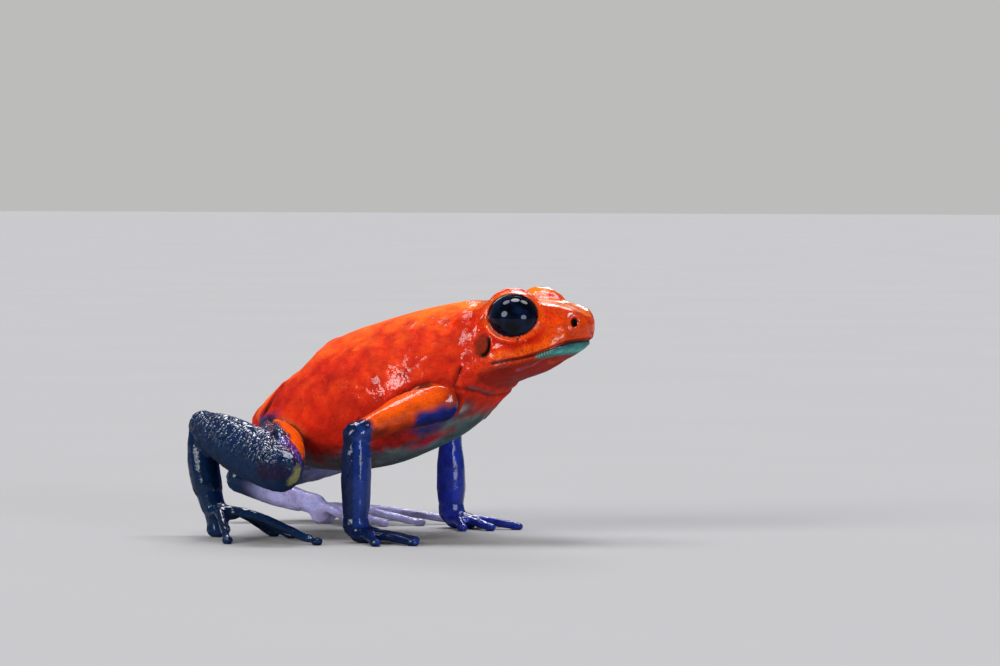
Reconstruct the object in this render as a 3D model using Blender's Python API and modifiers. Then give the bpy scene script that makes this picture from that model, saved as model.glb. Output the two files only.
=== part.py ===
"""Strawberry poison dart frog, life size, standing high on its fore legs.

The frog faces +X with its right side towards -Y, and stands on Z = 0.
While the forms are being fused one Blender unit is a millimetre. The finished
nodes are scaled to metres at the end.
"""

import math
from collections import namedtuple

import bmesh
import bpy
from mathutils import Matrix, Vector

METRES_PER_UNIT = 0.001

# Driving sizes, in millimetres.
GAP = 0.25  # space between neighbouring nodes
CARCASS_VOXEL = 0.2  # remesh grid of the heavy forms
SKIN_VOXEL = 0.12  # remesh grid of the whole animal
TRIANGLES = 8500  # of the whole animal before it is cut up

# Trunk and head are lofts of upright sections. Each row is one landmark:
# x along the body, z of the back, z of the widest level, z of the belly, half width.
Section = namedtuple("Section", "x top wide bottom half")

TRUNK = (
    Section(-10.50, 6.30, 6.30, 6.30, 0.00),  # vent
    Section(-10.25, 6.85, 6.30, 5.60, 0.95),
    Section(-9.45, 7.64, 6.20, 4.85, 1.80),
    Section(-8.15, 8.84, 6.15, 4.10, 2.60),
    Section(-6.30, 10.48, 6.30, 3.65, 3.35),  # sacral hump
    Section(-4.20, 11.52, 6.60, 3.60, 3.85),
    Section(-1.80, 12.30, 7.10, 3.95, 4.10),  # deepest belly
    Section(0.60, 12.95, 7.80, 4.85, 4.05),
    Section(2.60, 13.35, 8.50, 5.86, 3.75),  # shoulders
    Section(4.20, 13.50, 9.10, 7.22, 3.30),
    Section(5.40, 13.20, 9.80, 8.80, 2.70),
    Section(6.40, 11.20, 11.20, 11.20, 0.00),  # buried in the head
)
HEAD = (
    Section(2.40, 10.80, 10.80, 10.80, 0.00),  # buried in the shoulders
    Section(3.20, 13.10, 9.60, 7.90, 2.80),
    Section(4.50, 13.50, 9.70, 8.20, 3.35),
    Section(5.50, 13.58, 9.85, 8.68, 3.50),  # eardrum
    Section(6.30, 13.55, 10.00, 9.00, 3.48),  # corner of the mouth
    Section(7.10, 13.50, 10.15, 9.25, 3.35),  # middle of the eye
    Section(7.90, 13.45, 10.35, 9.70, 3.10),
    Section(8.70, 13.38, 10.65, 10.18, 2.75),  # front of the eye
    Section(9.40, 13.20, 11.02, 10.55, 2.30),
    Section(9.90, 13.02, 11.35, 10.80, 1.78),
    Section(10.25, 12.88, 11.70, 11.00, 1.30),  # nostrils
    Section(10.50, 12.72, 12.00, 11.28, 0.93),  # front of the lower jaw
    Section(10.70, 12.50, 12.15, 11.72, 0.58),
    Section(10.82, 12.25, 12.25, 12.25, 0.00),  # tip of the snout
)
TRUNK_SQUARENESS = (2.15, 2.1)  # superellipse powers of the upper and lower half
HEAD_SQUARENESS = (2.7, 2.2)

# Points on the right side; the left side is their mirror.
EYE = Vector((6.96, -2.20, 12.52))
EYE_RADII = Vector((1.48, 1.42, 1.36))
EYE_CLEARANCE = 0.12
BROW = Vector((6.78, -1.96, 12.62))
BROW_RADII = Vector((1.78, 1.40, 1.66))
NOSTRIL = Vector((10.32, -1.35, 12.28))
NOSTRIL_RADIUS = 0.19
EARDRUM = Vector((5.45, -3.45, 10.90))
EARDRUM_RADIUS = 0.60
CANTHUS = (  # ridge from the eye to the snout
    Vector((7.90, -1.75, 13.20)),
    Vector((8.70, -1.50, 13.12)),
    Vector((9.50, -1.28, 12.92)),
    Vector((10.20, -0.85, 12.66)),
)
CANTHUS_RADIUS = 0.30
MOUTH = ((6.15, 9.98), (7.1, 10.14), (7.75, 10.29), (8.55, 10.52), (9.4, 10.9), (10.0, 11.18))
MOUTH_FRONT = Vector((10.44, 0, 11.27))
LIP_GROOVE = 0.13
SHOULDER_RADII = Vector((1.15, 1.00, 1.10))
UPPER_ARM_RADII = (1.05, 1.02, 0.92, 0.78, 0.66)
UPPER_ARM_BOW = Vector((0, 0, 0.20))
SHOULDER_CUT, SHOULDER_NORMAL = Vector((2.20, -3.80, 7.60)), Vector((0.20, -0.95, -0.15))
HIP_CUT, HIP_NORMAL = Vector((-7.60, -3.06, 5.20)), Vector((-0.334, -0.942, 0))

Arm = namedtuple("Arm", "shoulder elbow wrist heading radii")
RIGHT_ARM = Arm(
    Vector((3.05, -3.55, 7.80)),
    Vector((-1.14, -5.80, 6.00)),
    Vector((-1.10, -6.00, 1.05)),
    math.radians(5),  # outwards from straight ahead
    (0.70, 0.86, 0.87, 0.82, 0.74),  # forearm, elbow to wrist
)
LEFT_ARM = Arm(
    Vector((2.10, 3.15, 7.50)),
    Vector((-0.65, 5.75, 6.00)),
    Vector((-0.60, 5.75, 1.05)),
    math.radians(-8),
    (0.64, 0.68, 0.82, 0.84, 0.76),
)
Leg = namedtuple("Leg", "hip knee heel ankle heading radii bow")
RIGHT_LEG = Leg(
    Vector((-8.20, -1.80, 5.35)),
    Vector((-4.20, -9.30, 4.20)),
    Vector((-11.25, -4.95, 6.25)),
    Vector((-10.30, -5.60, 1.75)),
    math.radians(20),
    (0.80, 0.90, 0.92, 0.88, 0.70),  # tarsus, heel to ankle
    Vector((-0.28, 0, 0)),
)
LEFT_LEG = Leg(
    Vector((-8.20, 1.80, 5.35)),
    Vector((-7.30, 10.10, 5.00)),
    Vector((-13.75, 4.50, 2.60)),
    Vector((-9.30, 5.50, 1.15)),
    math.radians(18),
    (0.84, 0.80, 0.76, 0.68, 0.62),
    Vector((0, 0, -0.15)),
)
SIDES = ((-1, "right", RIGHT_ARM, RIGHT_LEG), (1, "left", LEFT_ARM, LEFT_LEG))

# Digits: angle outwards from the heading, length from the wrist or ankle.
Digit = namedtuple("Digit", "name angle length")
FINGERS = (
    Digit("inner", math.radians(-48), 2.6),
    Digit("second", math.radians(-16), 3.1),
    Digit("third", math.radians(10), 3.9),
    Digit("outer", math.radians(42), 3.0),
)
TOES = (
    Digit("inner", math.radians(-46), 3.3),
    Digit("second", math.radians(-27), 4.6),
    Digit("third", math.radians(-12), 6.3),
    Digit("fourth", math.radians(1), 8.5),
    Digit("outer", math.radians(35), 5.2),
)
FINGER_RADIUS = 0.27
TOE_RADIUS = 0.25
DISC_RADII = Vector((0.42, 0.36, 0.26))  # pad at the tip of a digit
DIGIT_STEPS = (0.0, 0.36, 0.66, 0.94)  # shares of a digit's length
FINGER_ARCH = (1.0, 0.62, 0.40, 0.0)  # how much of the root's height is left there
TOE_ARCH = (1.0, 0.90, 0.50, 0.0)
TIP_HEIGHT = 0.24


def clear_scene():
    for obj in list(bpy.data.objects):
        bpy.data.objects.remove(obj, do_unlink=True)


def collection(name):
    made = bpy.data.collections.new(name)
    bpy.context.scene.collection.children.link(made)
    return made


def add_object(name, mesh, home):
    obj = bpy.data.objects.new(name, mesh)
    home.objects.link(obj)
    return obj


def add_bmesh(name, bm, home):
    mesh = bpy.data.meshes.new(name)
    bm.to_mesh(mesh)
    bm.free()
    return add_object(name, mesh, home)


def evaluated_mesh(obj):
    graph = bpy.context.evaluated_depsgraph_get()
    return bpy.data.meshes.new_from_object(obj.evaluated_get(graph))


def apply_modifiers(obj):
    mesh = evaluated_mesh(obj)
    obj.modifiers.clear()
    obj.data = mesh
    return obj


def mirrored(point):
    return Vector((point.x, -point.y, point.z))


def on_side(point, side):
    """A point given for the right side, side -1, moved to the side asked for."""
    return point.copy() if side < 0 else mirrored(point)


def smooth_rows(rows, position):
    """The row at a position from 0 to 1, on a Catmull-Rom spline through the rows."""
    spans = len(rows) - 1
    at = min(max(position, 0.0), 1.0) * spans
    i = min(int(at), spans - 1)
    t = at - i
    before, a, b, after = rows[max(i - 1, 0)], rows[i], rows[i + 1], rows[min(i + 2, spans)]
    return Section(
        *(
            0.5
            * (
                2 * q
                + (r - p) * t
                + (2 * p - 5 * q + 4 * r - s) * t**2
                + (3 * q - p - 3 * r + s) * t**3
            )
            for p, q, r, s in zip(before, a, b, after)
        )
    )


def section_point(section, squareness, angle):
    """A point of a section: angle 0 is the left widest point, a quarter turn the back."""
    power = squareness[0] if math.sin(angle) >= 0 else squareness[1]
    across = math.copysign(abs(math.cos(angle)) ** (2 / power), math.cos(angle))
    up = math.copysign(abs(math.sin(angle)) ** (2 / power), math.sin(angle))
    reach = section.top - section.wide if up >= 0 else section.wide - section.bottom
    return Vector((section.x, section.half * across, section.wide + reach * up))


def loft(name, rows, squareness, home, rings=48, segments=40):
    """A UV sphere with its poles along X, moved ring by ring onto the sections."""
    bm = bmesh.new()
    bmesh.ops.create_uvsphere(bm, u_segments=segments, v_segments=rings, radius=1)
    bmesh.ops.rotate(bm, verts=bm.verts, matrix=Matrix.Rotation(math.pi / 2, 3, "Y"))
    for vert in bm.verts:
        position = math.acos(max(-1.0, min(1.0, -vert.co.x))) / math.pi
        angle = math.atan2(vert.co.z, vert.co.y)
        vert.co = section_point(smooth_rows(rows, position), squareness, angle)
    bmesh.ops.recalc_face_normals(bm, faces=bm.faces)
    return add_bmesh(name, bm, home)


def ellipsoid(name, centre, radii, home, heading=0.0, segments=24):
    bm = bmesh.new()
    bmesh.ops.create_uvsphere(bm, u_segments=segments, v_segments=segments // 2, radius=1)
    place = Matrix.Translation(centre) @ Matrix.Rotation(heading, 4, "Z")
    bmesh.ops.transform(bm, verts=bm.verts, matrix=place @ Matrix.Diagonal(radii).to_4x4())
    return add_bmesh(name, bm, home)


def tube(name, points, radii, home):
    """A round limb: a Bezier curve through the points with its own radius at each."""
    curve = bpy.data.curves.new(name, "CURVE")
    curve.dimensions = "3D"
    curve.bevel_depth = 1.0
    curve.bevel_resolution = 4
    curve.resolution_u = 6
    curve.use_fill_caps = True
    spline = curve.splines.new("BEZIER")
    spline.bezier_points.add(len(points) - 1)
    for knot, point, radius in zip(spline.bezier_points, points, radii):
        knot.co = point
        knot.radius = radius
        knot.handle_left_type = knot.handle_right_type = "AUTO"
    guide = add_object(name + "_curve", curve, home)
    bm = bmesh.new()
    bm.from_mesh(evaluated_mesh(guide))
    bpy.data.objects.remove(guide)
    bmesh.ops.remove_doubles(bm, verts=bm.verts, dist=1e-4)
    return add_bmesh(name, bm, home)


def limb(name, start, end, radii, home, bow=Vector()):
    """A tube between two joints with evenly spaced radii, bowed sideways in the middle."""
    steps = len(radii) - 1
    points = [
        start.lerp(end, i / steps) + bow * math.sin(math.pi * i / steps)
        for i in range(steps + 1)
    ]
    return tube(name, points, radii, home)


def fuse(name, pieces, voxel, smoothing, home):
    """One closed surface over all the pieces, which are then removed."""
    bm = bmesh.new()
    for piece in pieces:
        bm.from_mesh(piece.data)
        bpy.data.objects.remove(piece)
    fused = add_bmesh(name, bm, home)
    remesh = fused.modifiers.new("skin", "REMESH")
    remesh.mode = "VOXEL"
    remesh.voxel_size = voxel
    smooth = fused.modifiers.new("even_out", "SMOOTH")
    smooth.factor = 0.5
    smooth.iterations = smoothing
    return apply_modifiers(fused)


def thin_out(obj, triangles):
    """Collapses edges where the surface is flattest, down to a number of triangles."""
    obj.data.calc_loop_triangles()
    decimate = obj.modifiers.new("thin_out", "DECIMATE")
    decimate.ratio = triangles / len(obj.data.loop_triangles)
    return apply_modifiers(obj)


def heavy_forms(home):
    """Trunk, head, brows and the roots of the four legs."""
    pieces = [
        loft("trunk", TRUNK, TRUNK_SQUARENESS, home),
        loft("skull", HEAD, HEAD_SQUARENESS, home),
    ]
    for side, tag, arm, leg in SIDES:
        ridge = [on_side(point, side) for point in CANTHUS]
        pieces += [
            ellipsoid("brow_" + tag, on_side(BROW, side), BROW_RADII, home),
            tube("canthus_" + tag, ridge, [CANTHUS_RADIUS] * len(ridge), home),
            limb("thigh_" + tag, leg.hip, leg.knee, (1.3, 1.5, 1.6, 1.5, 1.2), home),
            ellipsoid("shoulder_" + tag, arm.shoulder, SHOULDER_RADII, home),
        ]
        name = "upper_arm_" + tag
        pieces.append(limb(name, arm.shoulder, arm.elbow, UPPER_ARM_RADII, home, UPPER_ARM_BOW))
    return pieces


def digit(name, root, direction, length, radius, arch, home):
    """A finger or toe: it leaves the root raised, comes down and ends in a pad."""
    swell = (1.25, 1.1, 1.0, 0.95)
    flat = Vector((root.x, root.y, 0))
    points = [
        flat + direction * (length * step) + Vector((0, 0, TIP_HEIGHT + (root.z - TIP_HEIGHT) * k))
        for step, k in zip(DIGIT_STEPS, arch)
    ]
    tip = flat + direction * length + Vector((0, 0, 0.2))
    heading = math.atan2(direction.y, direction.x)
    return [
        tube(name, points, [radius * k for k in swell], home),
        ellipsoid(name + "_pad", tip, DISC_RADII, home, heading, segments=16),
    ]


def turned(angle, side):
    """A level direction, at an angle outwards from straight ahead."""
    return Vector((math.cos(angle), side * math.sin(angle), 0))


def arm_forms(side, tag, arm, home):
    ahead = turned(arm.heading, side)
    floor_point = Vector((arm.wrist.x, arm.wrist.y, 0))
    palm = floor_point + ahead * 0.75 + Vector((0, 0, 0.42))
    root = floor_point + ahead * 0.25 + Vector((0, 0, 0.62))
    pieces = [
        ellipsoid("elbow_" + tag, arm.elbow, Vector((0.8, 0.8, 0.8)), home),
        limb("forearm_" + tag, arm.elbow, arm.wrist, arm.radii, home),
        ellipsoid("wrist_" + tag, arm.wrist, Vector((0.78, 0.78, 0.8)), home),
        ellipsoid("palm_" + tag, palm, Vector((1.05, 0.85, 0.52)), home, side * arm.heading),
    ]
    for finger in FINGERS:
        direction = turned(arm.heading + finger.angle, side)
        name = f"finger_{finger.name}_{tag}"
        pieces += digit(name, root, direction, finger.length, FINGER_RADIUS, FINGER_ARCH, home)
    return pieces


def leg_forms(side, tag, leg, home):
    ahead = turned(leg.heading, side)
    sole = leg.ankle + ahead * 0.9 - Vector((0, 0, 0.35))
    root = leg.ankle + ahead * 0.2 - Vector((0, 0, 0.2))
    heel_pad = Vector((leg.ankle.x, leg.ankle.y, 0.42)) + ahead * 0.45
    pieces = [
        ellipsoid("knee_" + tag, leg.knee, Vector((1.28, 1.28, 1.28)), home),
        limb("shank_" + tag, leg.knee, leg.heel, (1.3, 1.45, 1.48, 1.3, 0.85), home),
        ellipsoid("heel_" + tag, leg.heel, Vector((0.86, 0.86, 0.86)), home),
        limb("tarsus_" + tag, leg.heel, leg.ankle, leg.radii, home, leg.bow),
        ellipsoid("ankle_" + tag, leg.ankle, Vector((1, 1, 1)) * leg.radii[-1], home),
        ellipsoid("sole_" + tag, sole, Vector((1.35, 0.75, 0.45)), home, side * leg.heading),
        limb("foot_base_" + tag, leg.ankle, heel_pad, (0.64, 0.6, 0.55), home),
        ellipsoid("heel_pad_" + tag, heel_pad, Vector((0.75, 0.6, 0.52)), home),
    ]
    for toe in TOES:
        direction = turned(leg.heading + toe.angle, side)
        name = f"toe_{toe.name}_{tag}"
        pieces += digit(name, root, direction, toe.length, TOE_RADIUS, TOE_ARCH, home)
    return pieces


def slab_cutter(name, centre, normal, inwards, reach, width, home):
    """A thin slab that parts two nodes: reach is how far it goes out and in from the centre."""
    across = normal.cross(inwards).normalized()
    inwards = across.cross(normal).normalized()
    turn = Matrix((inwards, across, normal.normalized())).transposed().to_4x4()
    middle = centre + inwards * (reach[1] - reach[0]) / 2
    bm = bmesh.new()
    bmesh.ops.create_cube(bm, size=1)
    bmesh.ops.scale(bm, verts=bm.verts, vec=(sum(reach), width, GAP))
    bmesh.ops.transform(bm, verts=bm.verts, matrix=Matrix.Translation(middle) @ turn)
    return add_bmesh(name, bm, home)


def fold_cutter(name, before, joint, after, reach, width, home):
    """A slab in the plane that halves the angle of a bent joint."""
    a, b = (before - joint).normalized(), (after - joint).normalized()
    return slab_cutter(name, joint, a - b, a + b, reach, width, home)


def section_at(rows, x):
    """The section at a distance along the body."""
    low, high = 0.0, 1.0
    for _ in range(40):
        middle = (low + high) / 2
        if smooth_rows(rows, middle).x < x:
            low = middle
        else:
            high = middle
    return smooth_rows(rows, low)


def half_width(section, squareness, z):
    """How far the surface of a section lies from the midline at a height."""
    upper = z >= section.wide
    power = squareness[0] if upper else squareness[1]
    reach = section.top - section.wide if upper else section.wide - section.bottom
    return section.half * (1 - min(1.0, abs(z - section.wide) / reach) ** power) ** (1 / power)


def mouth_line():
    """The line between the lips, from the right corner round the snout to the left one."""
    right = []
    for x, z in MOUTH:
        right.append(Vector((x, -half_width(section_at(HEAD, x), HEAD_SQUARENESS, z), z)))
    return right + [MOUTH_FRONT] + [mirrored(point) for point in reversed(right)]


def torus_cutter(name, centre, normal, radius, thickness, home):
    """A ring, made by spinning a small circle about its axis."""
    bm = bmesh.new()
    bmesh.ops.create_circle(bm, segments=6, radius=thickness)
    bmesh.ops.rotate(bm, verts=bm.verts, matrix=Matrix.Rotation(math.pi / 2, 3, "X"))
    bmesh.ops.translate(bm, verts=bm.verts, vec=(radius, 0, 0))
    bmesh.ops.spin(
        bm,
        geom=bm.verts[:] + bm.edges[:],
        axis=(0, 0, 1),
        cent=(0, 0, 0),
        angle=2 * math.pi,
        steps=20,
        use_merge=True,
    )
    bmesh.ops.recalc_face_normals(bm, faces=bm.faces)
    turn = normal.to_track_quat("Z", "Y").to_matrix().to_4x4()
    bmesh.ops.transform(bm, verts=bm.verts, matrix=Matrix.Translation(centre) @ turn)
    return add_bmesh(name, bm, home)


def head_cutters(home):
    """Mouth line, nostrils, eardrum rings and eye sockets."""
    lips = mouth_line()
    made = [tube("mouth_line", lips, [LIP_GROOVE] * len(lips), home)]
    for side, tag, _arm, _leg in SIDES:
        nostril = on_side(NOSTRIL, side)
        radii = Vector((NOSTRIL_RADIUS, 0.35, NOSTRIL_RADIUS))
        socket = EYE_RADII + Vector((1, 1, 1)) * EYE_CLEARANCE
        outwards = Vector((-0.05, side * 0.98, 0.15)).normalized()
        made += [
            ellipsoid("nostril_" + tag, nostril, radii, home, segments=12),
            ellipsoid("socket_" + tag, on_side(EYE, side), socket, home, segments=24),
            torus_cutter(
                "eardrum_" + tag, on_side(EARDRUM, side), outwards, EARDRUM_RADIUS, 0.1, home
            ),
        ]
    return made


def joint_cutters(home):
    """The thin slabs that part the animal into its nodes."""
    up = Vector((0, 0, 1))
    neck, neck_normal = Vector((4.75, 0, 10.6)), Vector((0.98, 0, 0.2))
    made = [slab_cutter("neck", neck, neck_normal, up, (6, 6), 12, home)]
    for side, tag, arm, leg in SIDES:
        shoulder, flank = on_side(SHOULDER_CUT, side), on_side(SHOULDER_NORMAL, side)
        groin, hip_normal = on_side(HIP_CUT, side), on_side(HIP_NORMAL, side)
        shin = (leg.ankle - leg.heel).normalized()
        ankle = leg.ankle - shin * 0.75
        wrist = arm.wrist + up * 0.4
        made += [
            slab_cutter("shoulder_cut_" + tag, shoulder, flank, up, (2.6, 2.6), 6.4, home),
            fold_cutter("elbow_cut_" + tag, arm.shoulder, arm.elbow, arm.wrist, (1.6, 1.8), 3, home),
            slab_cutter("wrist_cut_" + tag, wrist, up, turned(0, side), (1.5, 1.5), 3, home),
            slab_cutter("hip_cut_" + tag, groin, hip_normal, up, (2.6, 2.6), 5.8, home),
            fold_cutter("knee_cut_" + tag, leg.hip, leg.knee, leg.heel, (2.2, 6.6), 4.2, home),
            fold_cutter("heel_cut_" + tag, leg.knee, leg.heel, leg.ankle, (1.4, 3.8), 4, home),
            slab_cutter("ankle_cut_" + tag, ankle, shin, up, (1.2, 1.2), 2.4, home),
        ]
    return made


def floor_cutter(home):
    """Everything below the floor, so that the pads end in flats at one level."""
    bm = bmesh.new()
    bmesh.ops.create_cube(bm, size=1)
    bmesh.ops.scale(bm, verts=bm.verts, vec=(60, 60, 4))
    bmesh.ops.translate(bm, verts=bm.verts, vec=(0, 0, -2))
    return add_bmesh("floor", bm, home)


def cut_up(whole, cutters):
    """Takes the cutters from the animal and returns its loose closed surfaces."""
    for cutter in cutters.objects:
        cutter.hide_render = True
        cutter.display_type = "WIRE"
    difference = whole.modifiers.new("cuts", "BOOLEAN")
    difference.operation = "DIFFERENCE"
    difference.operand_type = "COLLECTION"
    difference.collection = cutters
    return apply_modifiers(whole)


def loose_pieces(mesh):
    """The connected pieces of a mesh, each as a bmesh, the largest first."""
    bm = bmesh.new()
    bm.from_mesh(mesh)
    bmesh.ops.triangulate(bm, faces=bm.faces)
    left, groups = set(bm.faces), []
    while left:
        stack, group = [left.pop()], []
        while stack:
            face = stack.pop()
            group.append(face)
            for edge in face.edges:
                near = [f for f in edge.link_faces if f in left]
                left.difference_update(near)
                stack.extend(near)
        groups.append(group)
    made = []
    for group in sorted(groups, key=len, reverse=True):
        piece = bmesh.new()
        index = {}
        for face in group:
            for vert in face.verts:
                if vert not in index:
                    index[vert] = piece.verts.new(vert.co)
            piece.faces.new([index[vert] for vert in face.verts])
        made.append(piece)
    bm.free()
    return made


def seeds():
    """A point well inside each node, by which the loose pieces are named."""
    found = {"head": Vector((7.5, 0, 11.2)), "torso": Vector((-2.0, 0, 8.0))}
    for side, tag, arm, leg in SIDES:
        found["upper_arm_" + tag] = arm.shoulder.lerp(arm.elbow, 0.6)
        found["forearm_" + tag] = arm.elbow.lerp(arm.wrist, 0.5)
        found["hand_" + tag] = arm.wrist + turned(arm.heading, side) - Vector((0, 0, 0.6))
        found["thigh_" + tag] = leg.hip.lerp(leg.knee, 0.6)
        found["shank_" + tag] = leg.knee.lerp(leg.heel, 0.55)
        found["tarsus_" + tag] = leg.heel.lerp(leg.ankle, 0.45)
        found["foot_" + tag] = leg.ankle + turned(leg.heading, side) * 2 - Vector((0, 0, 0.5))
    return found


def box_distance(bm, point):
    """How far a point lies outside a piece's box, then how far from its middle."""
    low = Vector([min(v.co[k] for v in bm.verts) for k in range(3)])
    high = Vector([max(v.co[k] for v in bm.verts) for k in range(3)])
    outside = Vector([max(low[k] - point[k], 0, point[k] - high[k]) for k in range(3)])
    return outside.length, (point - (low + high) / 2).length


def skin_material(name, colour, roughness):
    """A Principled BSDF in one sRGB colour, given as a hex number."""
    channels = [((colour >> shift) & 255) / 255 for shift in (16, 8, 0)]
    linear = [c / 12.92 if c <= 0.04045 else ((c + 0.055) / 1.055) ** 2.4 for c in channels]
    material = bpy.data.materials.new(name)
    material.use_nodes = True
    shader = material.node_tree.nodes["Principled BSDF"]
    shader.inputs["Base Color"].default_value = (*linear, 1)
    shader.inputs["Roughness"].default_value = roughness
    return material


def name_nodes(pieces, home):
    """Gives each seed the piece whose box it lies in, and drops the scraps."""
    nodes = []
    for name, point in seeds().items():
        best = min(pieces, key=lambda bm: box_distance(bm, point))
        pieces.remove(best)
        nodes.append(add_bmesh(name, best, home))
    for scrap in pieces:
        scrap.free()
    return nodes


def eye_nodes(home):
    return [
        ellipsoid("eye_right", EYE, EYE_RADII, home, segments=24),
        ellipsoid("eye_left", mirrored(EYE), EYE_RADII, home, segments=24),
    ]


def centre_on_floor(nodes):
    """Scales the nodes to metres and sets the middle of their box over the origin."""
    corners = [obj.data.vertices for obj in nodes]
    low = [min(v.co[k] for verts in corners for v in verts) for k in (0, 1)]
    high = [max(v.co[k] for verts in corners for v in verts) for k in (0, 1)]
    shift = Vector((-(low[0] + high[0]) / 2, -(low[1] + high[1]) / 2, 0))
    to_metres = Matrix.Scale(METRES_PER_UNIT, 4) @ Matrix.Translation(shift)
    for obj in nodes:
        obj.data.transform(to_metres)


def finish(nodes):
    red = skin_material("orange_red_skin", 0xD9330C, 0.3)
    blue = skin_material("navy_blue_skin", 0x1B2F6B, 0.3)
    black = skin_material("black_eye", 0x07090F, 0.08)
    for obj in nodes:
        colour = blue
        if obj.name in ("head", "torso") or obj.name.startswith("upper_arm"):
            colour = red
        if obj.name.startswith("eye"):
            colour = black
        obj.data.materials.clear()
        obj.data.materials.append(colour)
        obj.data.shade_smooth()
        obj.data.set_sharp_from_angle(angle=math.radians(40))


def main():
    clear_scene()
    frog = collection("strawberry_poison_dart_frog")
    cutters = collection("cutters")
    carcass = fuse("carcass", heavy_forms(frog), CARCASS_VOXEL, 6, frog)
    thin_forms = [carcass]
    for side, tag, arm, leg in SIDES:
        thin_forms += arm_forms(side, tag, arm, frog) + leg_forms(side, tag, leg, frog)
    whole = fuse("whole", thin_forms, SKIN_VOXEL, 2, frog)
    thin_out(whole, TRIANGLES)
    head_cutters(cutters)
    joint_cutters(cutters)
    floor_cutter(cutters)
    cut_up(whole, cutters)
    pieces = loose_pieces(whole.data)
    bpy.data.objects.remove(whole)
    for cutter in list(cutters.objects):
        bpy.data.objects.remove(cutter)
    nodes = name_nodes(pieces, frog) + eye_nodes(frog)
    centre_on_floor(nodes)
    finish(nodes)


main()
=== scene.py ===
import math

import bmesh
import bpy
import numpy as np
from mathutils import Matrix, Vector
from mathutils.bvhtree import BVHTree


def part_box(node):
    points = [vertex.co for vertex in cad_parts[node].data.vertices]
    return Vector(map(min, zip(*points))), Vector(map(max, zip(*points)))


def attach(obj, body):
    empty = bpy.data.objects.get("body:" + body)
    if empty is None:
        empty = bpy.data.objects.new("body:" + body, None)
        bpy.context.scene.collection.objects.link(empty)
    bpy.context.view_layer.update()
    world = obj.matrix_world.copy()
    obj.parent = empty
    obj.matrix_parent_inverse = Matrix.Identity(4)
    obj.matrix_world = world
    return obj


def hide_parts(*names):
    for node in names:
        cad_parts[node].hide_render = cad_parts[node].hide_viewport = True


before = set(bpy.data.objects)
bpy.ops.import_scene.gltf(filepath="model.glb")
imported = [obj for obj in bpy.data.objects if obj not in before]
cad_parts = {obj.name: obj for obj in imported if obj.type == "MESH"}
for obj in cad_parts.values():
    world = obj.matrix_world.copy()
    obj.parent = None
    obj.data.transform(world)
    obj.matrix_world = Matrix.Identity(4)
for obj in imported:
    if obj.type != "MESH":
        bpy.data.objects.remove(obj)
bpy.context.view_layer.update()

# %% [markdown]
# # A strawberry poison dart frog
#
# The solid model of the frog is loaded as a frame. Its flesh comes as sixteen nodes with
# thin gaps between them. This lesson closes them into one wet skin, sculpts the lids, lips,
# nostrils and folds with a few named distance functions, paints it by region, and sets two
# glossy black eyes into the lids. A live frog has no seams, which is why one skin over all
# the nodes was chosen rather than a skin for each.
#
# Most lengths are in millimetres, in the drawing frame of the frog: x forwards, y to its
# left, z up from the floor. That is easier to read than metres, and a voxel remesh works
# best on a model that is tens of units long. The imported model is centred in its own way, so
# the middle of the right eye, which both frames know, gives the shift between them.

MM = 0.001

EYE = np.array((6.96, -2.20, 12.52))  # middle of the right eye, in the drawing frame
EYE_RADII = np.array((1.49, 1.43, 1.37))  # the eyeball fills its socket
eye_low, eye_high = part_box("eye_right")
SHIFT = np.array((eye_low + eye_high) / 2) / MM - EYE
TO_DRAWING = Matrix.Translation(Vector(-SHIFT)) @ Matrix.Scale(1 / MM, 4)
TO_CAD = TO_DRAWING.inverted()
print("drawing frame moved by", np.round(SHIFT, 3), "mm")

LIMBS = ("upper_arm", "forearm", "hand", "thigh", "shank", "tarsus", "foot")
FLESH = ["head", "torso"] + [f"{limb}_{side}" for limb in LIMBS for side in ("right", "left")]
print(len(FLESH), "nodes of flesh")

# %% [markdown]
# ## Small tools for shaping
#
# A sculptor's brush is a distance and a falloff. `bell` is a soft brush that is strongest on
# its line, and `smoothstep` is a soft edge between two values. `furrow` presses a fold in and
# lets the skin bulge beside it. `path_distance` measures how far every vertex is from a line
# through a few points, which is how a fold or a lip is drawn.

# %% Distance and falloff functions
BRUSH_REACH = 2.5  # no brush on a path is felt farther away than this


def unit(vector):
    return np.asarray(vector, float) / np.linalg.norm(vector)


def smoothstep(low, high, value):
    t = np.clip((value - low) / (high - low), 0.0, 1.0)
    return t * t * (3 - 2 * t)


def bell(distance, width):
    return np.exp(-((distance / width) ** 2))


def furrow(distance, depth, width, bank, bank_at, bank_width):
    """The height of a furrow, with a bank of raised skin at a distance from its bottom."""
    return bank * bell(distance - bank_at, bank_width) - depth * bell(distance, width)


def spot_distance(points, spot):
    return np.linalg.norm(points - np.asarray(spot, float), axis=1)


def path_distance(points, path):
    """Shortest distance of each point from a line through the points of a path."""
    path = np.asarray(path, float)
    low, high = path.min(0) - BRUSH_REACH, path.max(0) + BRUSH_REACH
    inside = np.all((points > low) & (points < high), axis=1)
    near = points[inside]
    best = np.full(len(near), BRUSH_REACH)
    for start, end in zip(path[:-1], path[1:]):
        step = end - start
        t = np.clip((near - start) @ step / (step @ step), 0, 1)
        best = np.minimum(best, np.linalg.norm(near - start - t[:, None] * step, axis=1))
    distance = np.full(len(points), BRUSH_REACH)
    distance[inside] = best
    return distance


print("a bell brush is at", round(float(bell(0.5, 1.0)), 2), "halfway to its width")

# %% [markdown]
# Skin is never even. `value_noise` gives each cell of a grid a random number and blends
# between neighbours; `ridges` folds it, which turns soft hills into creases like loose skin.
# A number is made from the cell's own place, so the same skin comes out on every run. The
# two sides of the frog share their brush strokes but not their noise, as on a live one.

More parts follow.
